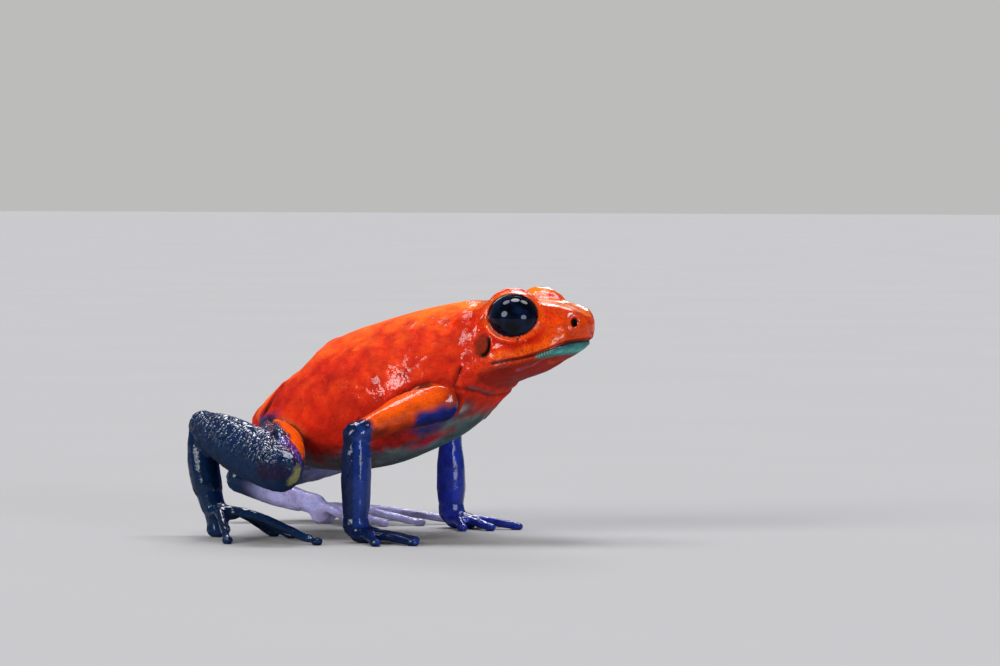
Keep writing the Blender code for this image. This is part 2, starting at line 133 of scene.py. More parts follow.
# %% Noise and symmetry
CELL_PRIMES = np.array((73856093, 19349663, 83492791))  # they scatter neighbouring cells
SCATTER = 1274126177
SEED_STEP = 7.31  # cells between one seed and the next


def value_noise(points, size, seed):
    """Smooth noise from 0 to 1, in cells of a size in millimetres."""
    at = points / size + seed * SEED_STEP
    cell = np.floor(at).astype(np.int64)
    t = at - cell
    t = t * t * (3 - 2 * t)
    total = np.zeros(len(points))
    for corner in range(8):
        step = np.array((corner & 1, corner >> 1 & 1, corner >> 2 & 1))
        scattered = (cell + step) * CELL_PRIMES
        code = scattered[:, 0] ^ scattered[:, 1] ^ scattered[:, 2]
        code = (code ^ (code >> 13)) * SCATTER
        share = np.prod(np.where(step, t, 1 - t), axis=1)
        total += share * (((code ^ (code >> 16)) & 0xFFFF) / 0xFFFF)
    return total


def ridges(points, size, seed):
    """Noise folded into rounded creases, from 0 in a furrow to 1 on a ridge."""
    return 1 - np.abs(2 * value_noise(points, size, seed) - 1) ** 1.3


def to_one_side(points):
    """Folds the left side onto the right, so that one brush works on both."""
    folded = points.copy()
    folded[:, 1] = -np.abs(folded[:, 1])
    return folded


both_eyes = np.array((EYE, EYE * (1, -1, 1)))
print("both eyes fold onto", to_one_side(both_eyes).tolist())

# %% [markdown]
# ## Reading and writing a mesh as arrays
#
# The skin starts with nearly four hundred thousand vertices, and a loop over them in Python
# is slow. So the coordinates are read into one array, changed in one step, and written back.

# %% Mesh arrays


def read_points(mesh):
    flat = np.empty(len(mesh.vertices) * 3, np.float32)
    mesh.vertices.foreach_get("co", flat)
    return flat.reshape(-1, 3).astype(float)


def read_normals(mesh):
    flat = np.empty(len(mesh.vertices) * 3, np.float32)
    mesh.vertex_normals.foreach_get("vector", flat)
    return flat.reshape(-1, 3).astype(float)


def write_points(mesh, points):
    mesh.vertices.foreach_set("co", points.astype(np.float32).ravel())
    mesh.update()


def read_edges(mesh):
    flat = np.empty(len(mesh.edges) * 2, np.int32)
    mesh.edges.foreach_get("vertices", flat)
    return flat.reshape(-1, 2)


def neighbour_mean(values, edges):
    """The mean of each vertex's neighbours, for one column or several."""
    columns = values.reshape(len(values), -1)
    a, b = edges[:, 0], edges[:, 1]
    count = np.bincount(a, minlength=len(values)) + np.bincount(b, minlength=len(values))
    mean = np.empty_like(columns)
    for k in range(columns.shape[1]):
        total = np.bincount(a, columns[b, k], len(values))
        total += np.bincount(b, columns[a, k], len(values))
        mean[:, k] = total / np.maximum(count, 1)
    return mean.reshape(values.shape)


def applied(obj):
    """Bakes an object's modifiers into its mesh."""
    graph = bpy.context.evaluated_depsgraph_get()
    mesh = bpy.data.meshes.new_from_object(obj.evaluated_get(graph))
    obj.modifiers.clear()
    obj.data = mesh


print("the solid head has", len(read_points(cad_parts["head"].data)), "vertices")

# %% [markdown]
# ## One skin over all the flesh
#
# The nodes are copied, joined and swollen by a little more than half the gap, so that
# neighbours overlap. A voxel remesh keeps only the outer surface, and the same amount is taken
# off again. This is called closing: thin gaps vanish and everything else stays in place. The
# eyes are closed in too, which gives the lids a smooth form to lie on.

# %% Close the gaps
VOXEL = 0.064
SWELLING = 0.16  # half of the 0.25 mm gap between two nodes, and a little more
MERGE_DISTANCE = 1e-4


def joined_copy(names):
    bm = bmesh.new()
    for name in names:
        bm.from_mesh(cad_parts[name].data)
    bmesh.ops.transform(bm, verts=bm.verts, matrix=TO_DRAWING)
    bmesh.ops.remove_doubles(bm, verts=bm.verts, dist=MERGE_DISTANCE)
    mesh = bpy.data.meshes.new("skin")
    bm.to_mesh(mesh)
    bm.free()
    return mesh


mesh = joined_copy(FLESH + ["eye_right", "eye_left"])
write_points(mesh, read_points(mesh) + read_normals(mesh) * SWELLING)
skin = bpy.data.objects.new("skin", mesh)
bpy.context.scene.collection.objects.link(skin)
remesh = skin.modifiers.new("one_surface", "REMESH")
remesh.mode = "VOXEL"
remesh.voxel_size = VOXEL
applied(skin)
write_points(skin.data, read_points(skin.data) - read_normals(skin.data) * SWELLING)
print("closed skin:", len(skin.data.vertices), "vertices")

# %% [markdown]
# ## Which part of the body a vertex belongs to
#
# Limbs are blue and the trunk is red, and toes must not be smoothed as much as the back.
# Both need to know the nearest node of the solid model, which a BVH tree finds quickly. The
# folds between a limb and the trunk need the distance from one node, which the same kind of
# tree gives for the vertices close to it.

# %% Nearest node of every vertex
NODE_REACH = 1.2  # no fold between two nodes is felt farther away than this


def node_tree(names):
    verts, faces, owner = [], [], []
    for name in names:
        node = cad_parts[name].data
        start = len(verts)
        verts += [TO_DRAWING @ vert.co for vert in node.vertices]
        faces += [[start + k for k in face.vertices] for face in node.polygons]
        owner += [FLESH.index(name)] * len(node.polygons)
    return BVHTree.FromPolygons(verts, faces), owner


def nearest_node(points):
    tree, owner = node_tree(FLESH)
    return np.array([owner[tree.find_nearest(point)[2]] for point in points.tolist()])


def node_distance(points, name):
    """Distance of each point from one node, up to the reach."""
    tree, _ = node_tree([name])
    box = read_points(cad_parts[name].data) / MM - SHIFT
    low, high = box.min(0) - NODE_REACH, box.max(0) + NODE_REACH
    near = np.all((points > low) & (points < high), axis=1)
    distance = np.full(len(points), NODE_REACH)
    for i in np.nonzero(near)[0].tolist():
        found = tree.find_nearest(points[i].tolist(), NODE_REACH)[3]
        distance[i] = NODE_REACH if found is None else found
    return distance


def is_part(owner, *parts):
    """One where a vertex's node is one of the parts, on either side, else zero."""
    names = [name.removesuffix("_right").removesuffix("_left") for name in FLESH]
    wanted = [i for i, name in enumerate(names) if name in parts]
    return np.isin(owner, wanted).astype(float)


points = read_points(skin.data)
edges = read_edges(skin.data)
owner = nearest_node(points)
print("vertices of the head:", int(is_part(owner, "head").sum()))

# %% [markdown]
# ## Smooth the facets away
#
# The solid model is faceted. Plain smoothing would also shrink the toes, so each round moves
# the vertices towards their neighbours' mean and then a little farther back. That removes
# short waves and keeps the volume. The limbs are smoothed less, and the digits least.

# %% Smoothing that keeps the volume
SMOOTHING_ROUNDS = 60
THERE_AND_BACK = (0.5, -0.51)  # shares of the way to the neighbours' mean


def relax(points, edges, weight, rounds):
    for _ in range(rounds):
        for factor in THERE_AND_BACK:
            points = points + (neighbour_mean(points, edges) - points) * (factor * weight)[:, None]
    return points


def blurred(mask, edges, rounds):
    for _ in range(rounds):
        mask = 0.5 * mask + 0.5 * neighbour_mean(mask, edges)
    return mask


weight = 1 - 0.3 * is_part(owner, "forearm", "upper_arm", "tarsus")
weight -= 0.75 * is_part(owner, "hand", "foot")
points = relax(points, edges, blurred(weight, edges, 12), SMOOTHING_ROUNDS)
print("smoothed with", SMOOTHING_ROUNDS, "rounds")

# %% [markdown]
# ## Set the lids round the eyeball
#
# A lid isn't a ring that is added on: it is the edge where skin stops and slides under the
# ball. Each vertex near the eye is moved along its ray from the eye's middle. Inside the
# opening it goes under the surface of the ball, at the edge it just clears it, and farther
# out it swells into a soft rim and then returns to the form of the head. The opening is an
# oval across the way the eye looks, a little narrower in height than the ball, so that the
# lids cover its top and bottom as they do on the frog.

# %% Lids
GAZE = unit((0.32, -0.94, 0.10))
GAZE_ACROSS = unit(np.cross((0, 0, 1), GAZE))
GAZE_UP = np.cross(GAZE, GAZE_ACROSS)
OPENING = np.array((1.42, 1.215))  # half width and half height
OPENING_OFFSET = np.array((-0.08, 0.12))
UNDER_BALL, LID_CLEARANCE = 0.93, 1.050  # in eye radii
LID_RIM, LID_RIM_AT, LID_RIM_WIDTH = 0.030, 1.15, 0.08  # a swelling just outside the opening
BEHIND_EYE = -0.3  # paint round the eye ends this far behind its middle
HOLD_FULL, HOLD_ENDS = 1.10, 1.45  # in openings, how far out the lid holds on to the ball


def eye_measure(points):
    """Reach from the eye's middle in eye radii, the direction, and the place in the opening."""
    offset = to_one_side(points) - EYE
    scaled = offset / EYE_RADII
    reach = np.linalg.norm(scaled, axis=1)
    flat = np.stack((offset @ GAZE_ACROSS, offset @ GAZE_UP), axis=1)
    rim = np.linalg.norm((flat - OPENING_OFFSET) / OPENING, axis=1)
    return reach, scaled / np.maximum(reach, 1e-6)[:, None], rim, offset @ GAZE


def set_lids(points):
    reach, direction, rim, ahead = eye_measure(points)
    target = UNDER_BALL + (LID_CLEARANCE - UNDER_BALL) * smoothstep(0.93, 1.06, rim)
    target += LID_RIM * bell(rim - LID_RIM_AT, LID_RIM_WIDTH) * (rim > 0.9)
    hold = smoothstep(HOLD_ENDS, HOLD_FULL, rim) * smoothstep(0.0, 0.12, ahead) * (reach < 1.9)
    change = (direction * EYE_RADII) * (hold * (target - reach))[:, None]
    change[:, 1] *= np.where(points[:, 1] > 0, -1, 1)  # unfolded onto its own side
    return points + change, hold


points, lid_hold = set_lids(points)
write_points(skin.data, points)
print("vertices moved for the lids:", int((lid_hold > 0.01).sum()))

# %% [markdown]
# ## Paths that lie on the skin
#
# Folds and patches are drawn along paths of a few points. The skin has moved a little from
# the solid it was made on, so each path is cut into short steps and every step is dropped
# onto the nearest point of the skin, as a tape is pressed down. A path that hung in the air
# or ran under the surface would miss the very vertices that it is meant for.

# %% Press a path onto the skin
TAPE_STEP = 0.35
SKIN_TREE = BVHTree.FromObject(skin, bpy.context.evaluated_depsgraph_get())


def on_skin(path):
    path = np.atleast_2d(np.asarray(path, float))
    dense = [path[0]]
    for start, end in zip(path[:-1], path[1:]):
        count = max(1, int(np.linalg.norm(end - start) / TAPE_STEP))
        dense += [start + (end - start) * (k + 1) / count for k in range(count)]
    return np.array([SKIN_TREE.find_nearest(Vector(point))[0] for point in dense])


print("a tape from cheek to snout has", len(on_skin(((6, -3.4, 10), (10, -1.2, 12)))), "points")

# %% [markdown]
# ## Sculpt the head
#
# Each feature is a brush stroke: a height along the surface normal, times a soft brush. The
# lip is a step with a dark line under it, the nostril is a pit with a raised rim, and the
# eardrum is a sunken oval with a deep front edge under a fold of skin. Bump could fake them,
# but a lip and a nostril have to hold from every side, so they are real geometry. All
# landmarks are those of the right side, and the left side is folded onto them.

# %% Landmarks of the head
NOSTRIL = np.array((10.16, -1.21, 12.30))
NOSTRIL_AXIS = unit((0.45, -0.86, 0.10))
EARDRUM = np.array((5.45, -3.42, 11.05))
EARDRUM_RADII = np.array((0.50, 0.66))
MOUTH_X = (6.0, 6.5, 7.0, 7.7, 8.35, 8.8, 9.3, 9.7, 9.95, 10.22, 10.44)
MOUTH_Z = (9.97, 10.08, 10.19, 10.33, 10.50, 10.70, 10.90, 11.09, 11.21, 11.25, 11.27)
UPPER_LIP = on_skin(
    ((6.1, -3.47, 10.38), (7.0, -3.35, 10.5), (7.7, -3.13, 10.65), (8.5, -2.83, 10.91),
     (9.2, -2.42, 11.21), (9.8, -1.84, 11.58))
)
CANTHUS = on_skin(
    ((8.37, -2.05, 13.31), (8.66, -1.75, 13.26), (9.28, -1.6, 13.11), (9.85, -1.38, 12.91),
     (10.27, -0.83, 12.74))
)
ORBIT_FRONT = on_skin(
    ((8.42, -2.05, 13.25), (8.50, -2.45, 12.7), (8.42, -2.8, 12.1), (8.05, -3.0, 11.45))
)
TEMPLE = on_skin(((5.25, -3.1, 12.75), (4.85, -3.3, 12.15), (4.45, -3.4, 11.6)))
EAR_FOLD = on_skin(
    ((5.20, -3.35, 11.92), (5.59, -3.38, 11.78), (5.92, -3.37, 11.48), (6.06, -3.35, 11.08))
)
JAW_CREASE = on_skin(
    ((4.15, -3.33, 9.75), (3.95, -3.37, 9.22), (3.79, -3.51, 8.72), (4.07, -3.64, 8.12),
     (4.12, -3.61, 7.7))
)
THROAT_FOLD = on_skin(
    ((4.1, -3.45, 8.66), (4.40, -3.08, 8.60), (4.78, -2.45, 8.41), (4.9, -1.01, 8.12),
     (4.95, 0, 8.1))
)
CHIN_FOLD = on_skin(((6.4, -3.2, 9.5), (7.3, -2.8, 9.72), (8.2, -2.1, 10.1), (8.9, -1.2, 10.3)))
ARM_CREASE = on_skin(
    ((-0.2, -4.45, 7.3), (0.45, -4.2, 7.8), (1.11, -4.02, 8.38), (1.77, -3.93, 8.77),
     (2.41, -3.8, 8.96), (3.19, -3.66, 8.87), (3.81, -3.48, 8.54), (4.06, -3.3, 8.16))
)
WARTS = (  # middle and size
    ((5.04, -3.44, 10.01), 0.22),
    ((4.37, -3.31, 9.53), 0.20),
    ((6.22, -3.46, 10.28), 0.12),
    ((5.5, -3.5, 10.2), 0.15),
    ((4.75, -3.4, 9.55), 0.14),
    ((6.25, -3.45, 10.72), 0.12),
)
LID_NOTCH = np.array((7.52, -3.16, 11.35))
print("the mouth is", round(MOUTH_X[-1] - MOUTH_X[0], 2), "mm long, seen from the side")

# %% [markdown]
# A path is enough for a fold, but some features have a shape of their own: the nostril is a
# short tube, the mouth is a line in height only, and the eardrum is an oval. Each gets a
# small measure, which the sculpting here and the painting later both read.

# %% Measures on the head


def nostril_distance(points):
    """Distance from the nostril's middle, measured across its axis and a little flattened."""
    offset = (points - NOSTRIL) * (1, 1, 0.82)
    depth = offset @ NOSTRIL_AXIS
    across = np.linalg.norm(offset - depth[:, None] * NOSTRIL_AXIS, axis=1)
    return across + 5 * np.maximum(np.abs(depth) - 0.6, 0)


def notch_distance(points):
    """Distance from the small notch under the lower lid, which is narrow along the body."""
    flat = (points - LID_NOTCH)[:, (0, 2)] * (1.6, 1.0)
    return np.linalg.norm(flat, axis=1) + 9 * (points[:, 1] > -2.4)


def lip_height(points):
    """How far each vertex is above the line of the mouth."""
    return points[:, 2] - np.interp(points[:, 0], MOUTH_X, MOUTH_Z)


def on_lips(points):
    return smoothstep(5.9, 6.3, points[:, 0]) * smoothstep(0.95, 0.55, np.abs(lip_height(points)))


def eardrum_measure(points):
    """Distance from the eardrum's middle in its radii, and how far that is to the front."""
    flat = (points[:, (0, 2)] - EARDRUM[[0, 2]]) / EARDRUM_RADII
    length = np.linalg.norm(flat, axis=1)
    front = (0.88 * flat[:, 0] - 0.48 * flat[:, 1]) / np.maximum(length, 1e-6)
    return length, front, smoothstep(-2.4, -3.0, points[:, 1])


print("the nostril is", round(float(lip_height(NOSTRIL[None])[0]), 2), "mm above the mouth")

# %% [markdown]
# Now the strokes themselves. Heights and widths are in millimetres. The swellings fade out
# where the lids hold on to the eyeball, and the lips are strongest under the snout.

# %% Brush strokes on the head
HEAD_SWELLINGS = (  # path, height and width
    (ORBIT_FRONT, 0.055, 0.16),
    (CANTHUS, 0.060, 0.22),
    (UPPER_LIP, 0.055, 0.26),
    (TEMPLE, 0.070, 0.24),
    (EAR_FOLD, 0.045, 0.13),
)
WART_HEIGHT = 0.085


def head_relief(points, lid_hold):
    side = to_one_side(points)
    lip, lips = lip_height(side), on_lips(side)
    relief = np.zeros(len(points))
    for path, height, width in HEAD_SWELLINGS:
        relief += height * bell(path_distance(side, path), width)
    relief *= 1 - lid_hold
    # The slit of the mouth, the edges of both lips, and the fold under the chin.
    relief -= 0.13 * bell(lip, 0.055) * lips
    relief += 0.045 * bell(lip - 0.18, 0.11) * lips
    front = smoothstep(7.9, 8.8, side[:, 0])
    relief += 0.050 * bell(lip + 0.20, 0.13) * lips * front
    relief -= 0.035 * bell(lip + 0.46, 0.09) * lips * front
    relief -= 0.040 * bell(path_distance(side, CHIN_FOLD), 0.12)
    relief += furrow(nostril_distance(side), 0.34, 0.15, 0.050, 0.29, 0.08)
    # The eardrum is sunk towards its front, where a deep edge runs round it.
    drum, drum_front, lateral = eardrum_measure(side)
    relief -= lateral * 0.05 * smoothstep(1.0, 0.2, drum) * smoothstep(-1.0, 0.6, drum_front)
    relief -= lateral * 0.20 * bell(drum - 0.92, 0.17) * smoothstep(0.1, 0.6, drum_front)
    for place, size in WARTS:
        relief += WART_HEIGHT * bell(spot_distance(side, place), size)
    relief += furrow(path_distance(side, JAW_CREASE), 0.17, 0.11, 0.060, 0.34, 0.20)
    relief += furrow(path_distance(side, THROAT_FOLD), 0.10, 0.10, 0.045, 0.30, 0.18)
    relief -= 0.06 * bell(notch_distance(side), 0.10)
    return relief


print(len(HEAD_SWELLINGS), "swellings and", len(WARTS), "warts on each side of the head")

# %% [markdown]
# ## Sculpt the body
#
# A frog's flank is loose and wrinkled, while its back is tighter. The wrinkles are noise of
# three sizes, the larger two stretched along the body, and all of them stronger where the
# surface faces sideways. The folds of the knee and the rump are furrows along paths, and the
# back has a low hump with a hollow behind it.

# %% Landmarks of the body
SOFTENED = (  # middle and size of the places where the solids meet at an angle
    ((3.95, -3.65, 7.75), 0.85),
    ((3.35, 3.35, 7.35), 0.85),
    ((-6.4, -5.8, 6.0), 1.5),
    ((5.5, -3.15, 9.35), 0.6),
    ((6.6, -2.9, 9.45), 0.6),
    ((7.7, -2.4, 9.85), 0.55),
    ((4.9, -1.5, 8.3), 0.9),
    ((4.9, 1.5, 8.3), 0.9),
    ((-9.5, -1.6, 6.9), 0.6),
)
KNEE_FOLD = on_skin(
    ((-8.2, -2.75, 6.7), (-7.4, -3.9, 6.5), (-6.71, -5.2, 6.35), (-5.63, -7.19, 5.97),
     (-4.85, -9.0, 5.68), (-4.56, -9.98, 5.25), (-4.8, -10.25, 4.87))
)
RUMP_FOLD = on_skin(
    ((-7.63, -2.03, 8.46), (-8.02, -2.05, 8.05), (-8.26, -2.19, 7.65), (-8.36, -2.25, 7.36),
     (-8.55, -2.26, 7.07), (-8.8, -2.25, 6.75))
)
RUMP_RIM = on_skin(((-8.0, -1.5, 8.6), (-8.6, -1.5, 7.9), (-9.1, -1.6, 7.2), (-9.4, -1.7, 6.8)))
HUMP = (-5.4, -0.3, 11.1)
BEHIND_HUMP = ((-6.8, -1.2, 10.0), (-6.8, 0.0, 10.35), (-6.8, 1.2, 10.0))
LOIN = (-8.3, -0.2, 8.5)
KNEE_PIT = (-5.5, -7.1, 5.95)
FLANK_SWELLS = (  # middle and size
    ((-0.31, -4.01, 8.61), 0.75),
    ((0.6, -3.95, 9.0), 0.65),
    ((-1.2, -4.07, 8.1), 0.65),
    ((3.6, -3.0, 10.9), 0.45),
    ((2.7, -3.2, 10.0), 0.45),
)
KNEES = {"right": (-4.20, -9.30, 4.20), "left": (-7.30, 10.10, 5.00)}
print(len(SOFTENED), "places to even out and", len(FLANK_SWELLS), "swellings on each flank")

# %% [markdown]
# The solids meet at an angle behind the jaw, at the throat and at the hip, and the closed skin
# still shows it. Before anything is sculpted there, each place is evened out by plain
# smoothing, which fades away towards its edge.

# %% Even out the joins
JOIN_PULL = 0.6  # share of the way to the neighbours' mean


def evened(points, place, size):
    amount = bell(spot_distance(points, place), size)
    nearby = edges[(amount[edges] > 0.01).all(axis=1)]
    pull = JOIN_PULL * amount * (amount > 0.02)
    for _ in range(SMOOTHING_ROUNDS):
        points = points + (neighbour_mean(points, nearby) - points) * pull[:, None]
    return points


before = points
for place, size in SOFTENED:
    points = evened(points, place, size)
write_points(skin.data, points)
print("evened out by", round(float(np.abs(points - before).max()), 3), "mm at most")

# %% [markdown]
# Where a limb lies against the trunk or against itself, a groove is pressed in. No path is
# needed for it: the groove runs where both nodes are near. At the knee the limb only bends,
# so the groove is kept away from there.

# %% Grooves between the limbs
SEAM_HALF = 0.15  # how far both nodes are from the skin in the bottom of a groove


def seam_distance(points, one, other):
    """How far each vertex is from the line where two nodes meet."""
    return np.maximum(node_distance(points, one), node_distance(points, other)) - SEAM_HALF


def grooves(points):
    """Distance from the nearest fold between a limb and what it folds against."""
    nearest = np.full(len(points), 9.0)
    for side, knee in KNEES.items():
        groin = seam_distance(points, "thigh_" + side, "torso")
        armpit = seam_distance(points, "upper_arm_" + side, "torso")
        open_knee = smoothstep(1.5, 0.8, spot_distance(points, knee))
        fold = seam_distance(points, "thigh_" + side, "shank_" + side) + 2 * open_knee
        nearest = np.minimum(nearest, np.minimum(np.minimum(groin, armpit), fold))
    return nearest


groove = grooves(points)
print("vertices in the grooves:", int((groove < 0.12).sum()))

# %% [markdown]
# The texture comes first, because it differs from part to part: loose on the trunk, pebbled on
# the thighs and shanks, and nearly smooth on the arms and the head. The folds and swellings
# are added to it, and the sum moves every vertex along its normal in one step.

# %% Brush strokes on the body
TRUNK_STRETCH = np.array((0.62, 1.0, 1.0))  # wrinkles run along the body
SWELL_HEIGHT = 0.08
HUMP_HEIGHT, HOLLOW_DEPTH, LOIN_DEPTH = 0.10, 0.36, 0.24
KNEE_PIT_FILL = 0.30  # fills a hole that is left where thigh and shank part


def skin_texture(points, normals, owner):
    trunk = blurred(is_part(owner, "torso"), edges, 10)
    flank = 0.30 + 0.70 * smoothstep(0.15, 0.75, np.abs(normals[:, 1]))
    flank *= smoothstep(-9.5, -3.0, points[:, 0])
    stretched = points * TRUNK_STRETCH
    wrinkles = 0.085 * ridges(stretched, 1.15, 1) + 0.075 * ridges(stretched, 0.62, 2)
    wrinkles += 0.045 * ridges(points, 0.38, 3) - 0.10
    texture = trunk * flank * wrinkles
    pebbled = blurred(is_part(owner, "shank", "thigh"), edges, 10)
    texture += pebbled * (0.050 * ridges(points, 0.42, 4) + 0.03 * ridges(points, 0.26, 5) - 0.04)
    smooth = is_part(owner, "upper_arm", "forearm", "tarsus")
    texture += smooth * (0.030 * ridges(points, 0.8, 6) + 0.016 * ridges(points, 0.34, 7) - 0.02)
    texture += is_part(owner, "head") * 0.018 * (value_noise(points, 0.42, 8) - 0.5)
    return texture


def body_relief(points, normals, owner, groove):
    side = to_one_side(points)
    relief = skin_texture(points, normals, owner)
    relief += furrow(groove, 0.13, 0.12, 0.06, 0.36, 0.20)
    relief += furrow(path_distance(points, KNEE_FOLD), 0.13, 0.10, 0.065, 0.30, 0.17)
    relief += furrow(path_distance(side, RUMP_FOLD), 0.18, 0.10, 0.09, 0.30, 0.17)
    relief += 0.10 * bell(path_distance(side, RUMP_RIM), 0.30)
    relief += KNEE_PIT_FILL * bell(spot_distance(points, KNEE_PIT), 0.55)
    relief += HUMP_HEIGHT * bell(spot_distance(points, HUMP), 0.6)
    relief -= HOLLOW_DEPTH * bell(path_distance(points, BEHIND_HUMP), 0.9)
    relief -= LOIN_DEPTH * bell(spot_distance(points, LOIN), 1.4)
    for place, size in FLANK_SWELLS:
        relief += SWELL_HEIGHT * bell(spot_distance(side, place), size)
    relief += furrow(path_distance(side, ARM_CREASE), 0.14, 0.11, 0.07, 0.36, 0.20)
    return relief


normals = read_normals(skin.data)
relief = head_relief(points, lid_hold) * blurred(is_part(owner, "head", "torso"), edges, 3)
relief += body_relief(points, normals, owner, groove) * (1 - lid_hold)
points = points + normals * relief[:, None]
points[:, 2] = np.maximum(points[:, 2], 0.0)  # nothing sinks into the floor
write_points(skin.data, points)
print("deepest pit", round(float(relief.min()), 3), "mm, highest", round(float(relief.max()), 3))

# %% [markdown]
# ## Thin out the skin
#
# A mesh that others will use should stay under 200,000 triangles, and nearly half of them go
# to the head, where the eye looks first. Decimate collapses edges, and a vertex group holds it
# back. The weights act strongly: the head keeps every vertex, and the trunk only about two
# thousand, one every 0.4 mm. That is too few for its finest wrinkles, which only the bump of
# the material still draws, and it leaves slight corners in the outline of back and rump.

# %% Decimate, with the head protected
TRIANGLES = 194000
SPARED = (  # parts and how far Decimate spares them
    (("head",), 1.0),
    (("hand", "foot"), 0.6),
    (("upper_arm", "forearm", "thigh", "shank", "tarsus"), 0.3),
)


def thin_out(obj, owner, triangles):
    spared = obj.vertex_groups.new(name="spared")
    for parts, share in SPARED:
        spared.add(np.nonzero(is_part(owner, *parts))[0].tolist(), share, "REPLACE")
    obj.data.calc_loop_triangles()
    decimate = obj.modifiers.new("thin_out", "DECIMATE")
    decimate.ratio = triangles / len(obj.data.loop_triangles)
    decimate.vertex_group = "spared"
    decimate.invert_vertex_group = True
    decimate.vertex_group_factor = 1.0
    applied(obj)
    obj.vertex_groups.clear()


thin_out(skin, owner, TRIANGLES)
points = read_points(skin.data)
normals = read_normals(skin.data)
edges = read_edges(skin.data)
owner = nearest_node(points)
groove = grooves(points)
print("skin:", len(skin.data.polygons), "faces")

# %% [markdown]
# ## Paint by region
#
# Real frogs are coloured by region, with ragged edges. The colour is laid on in layers, as a
# model painter would: a ground colour for each part of the body, then patches along paths,
# then dark lines. Each patch is a distance to a spot or a path, pushed about by noise so that
# no border is ruled. The result is one colour on every vertex, which the material reads, so a
# border comes out soft on the trunk, where the vertices are far apart. An image wrapped round
# the frog would be sharp everywhere, but would need a UV map whose seams don't show.
#
# The brushes ask which way the skin faces and how far it is from a landmark, so both are
# worked out once. The skin has moved since the paths were laid on it, so the tree for them is
# made again too.

# %% Brushes
SKIN_TREE = BVHTree.FromObject(skin, bpy.context.evaluated_depsgraph_get())
SIDE = to_one_side(points)
UP, AHEAD = normals[:, 2], normals[:, 0]
OUTWARD = normals[:, 1] * np.sign(points[:, 1])
WANDER = np.stack([value_noise(points, 0.7, 20 + k) - 0.5 for k in range(3)], axis=1)
WANDER += 0.5 * np.stack([value_noise(points, 0.28, 30 + k) - 0.5 for k in range(3)], axis=1)
MOTTLE = value_noise(points, 0.9, 41) - 0.5
FLECK = value_noise(points, 0.33, 42) - 0.5


def colour(hex_value):
    """A screen colour such as 0xF05A0A, in linear light with alpha."""
    channels = [(hex_value >> shift & 255) / 255 for shift in (16, 8, 0)]
    return (*[c / 12.92 if c <= 0.04045 else ((c + 0.055) / 1.055) ** 2.4 for c in channels], 1.0)


def patch(path, radius, soft=0.16, ragged=0.35, place=SIDE):
    """One inside a wandering band round a path or a spot."""
    shifted = place + ragged * WANDER
    path = on_skin(path)
    distance = spot_distance(shifted, path[0]) if len(path) == 1 else path_distance(shifted, path)
    return smoothstep(radius + soft, radius - soft, distance)


def part(*names, rounds=2):
    return blurred(is_part(owner, *names), edges, rounds)


class Paint:
    """Layers of paint on every vertex, mixed in linear light."""

    def __init__(self, ground):
        self.tint = np.tile(np.array(colour(ground)[:3]), (len(points), 1))

    def lay(self, hex_value, mask):
        self.tint += (np.array(colour(hex_value)[:3]) - self.tint) * np.clip(mask, 0, 1)[:, None]


GROUND_RED = 0xCB2405
paint = Paint(GROUND_RED)
print("ground colour in linear light:", np.round(colour(GROUND_RED)[:3], 3))

# %% [markdown]
# ### The trunk
#
# The red is deepest on the flank, and the orange where the skin faces up is painted light from
# above. The belly and the chest are blue-grey with crimson and red islands between them. The red
# is broken up by painted ridges, with painted light on their crests and painted shade in their
# furrows, which the eye reads as loose skin.

# %% The trunk
HEAD, TORSO = part("head"), part("torso")
HIP_NAVY = ((-8.95, -2.25, 6.35), (-8.2, -2.6, 6.42), (-7.6, -2.95, 6.4))
HIP_ORANGE = ((-7.2, -3.0, 6.5), (-6.8, -3.2, 6.35), (-6.2, -3.42, 6.0), (-5.8, -3.5, 5.6))
CHEST_RED = ((4.5, -2.6, 8.1), (4.75, -2.0, 8.0), (4.72, -1.0, 7.8), (4.5, -1.2, 7.5))
CHEST_GREY = ((4.86, 0.47, 8.08), (4.46, 0.3, 7.5), (4.0, -0.4, 7.05), (3.5, -1.2, 6.8),
              (2.88, -2.0, 6.55), (2.3, -1.9, 6.1), (1.5, -1.2, 5.3))
CHEST_MIDDLE = ((3.5, 0, 6.3), (2.0, 0, 5.2), (-1.5, 0, 4.3), (-4.5, 0, 3.7))
BELLY_GREY_PATH = ((1.6, -1.3, 5.2), (-0.2, -1.9, 4.75), (-1.6, -1.7, 4.3))
CRIMSON_PATH = ((2.1, -1.9, 5.85), (1.3, -1.9, 5.45), (0.6, -1.6, 5.05))
BELLY_RED_PATH = ((0.9, -3.0, 5.9), (0.0, -3.1, 5.5), (-0.9, -3.2, 5.2))
CHEST_PALE = ((3.95, -2.7, 7.5), (3.7, -2.5, 7.15))
BELLY_PALE = ((-0.6, -2.4, 4.9), (-0.2, -2.4, 5.05))
HIP_SHADE = ((-8.4, -2.2, 7.3), (-8.7, -2.2, 6.9))
BREAST_LOW, BREAST_HIGH = 6.85, 8.6  # a red triangle that stands on its tip


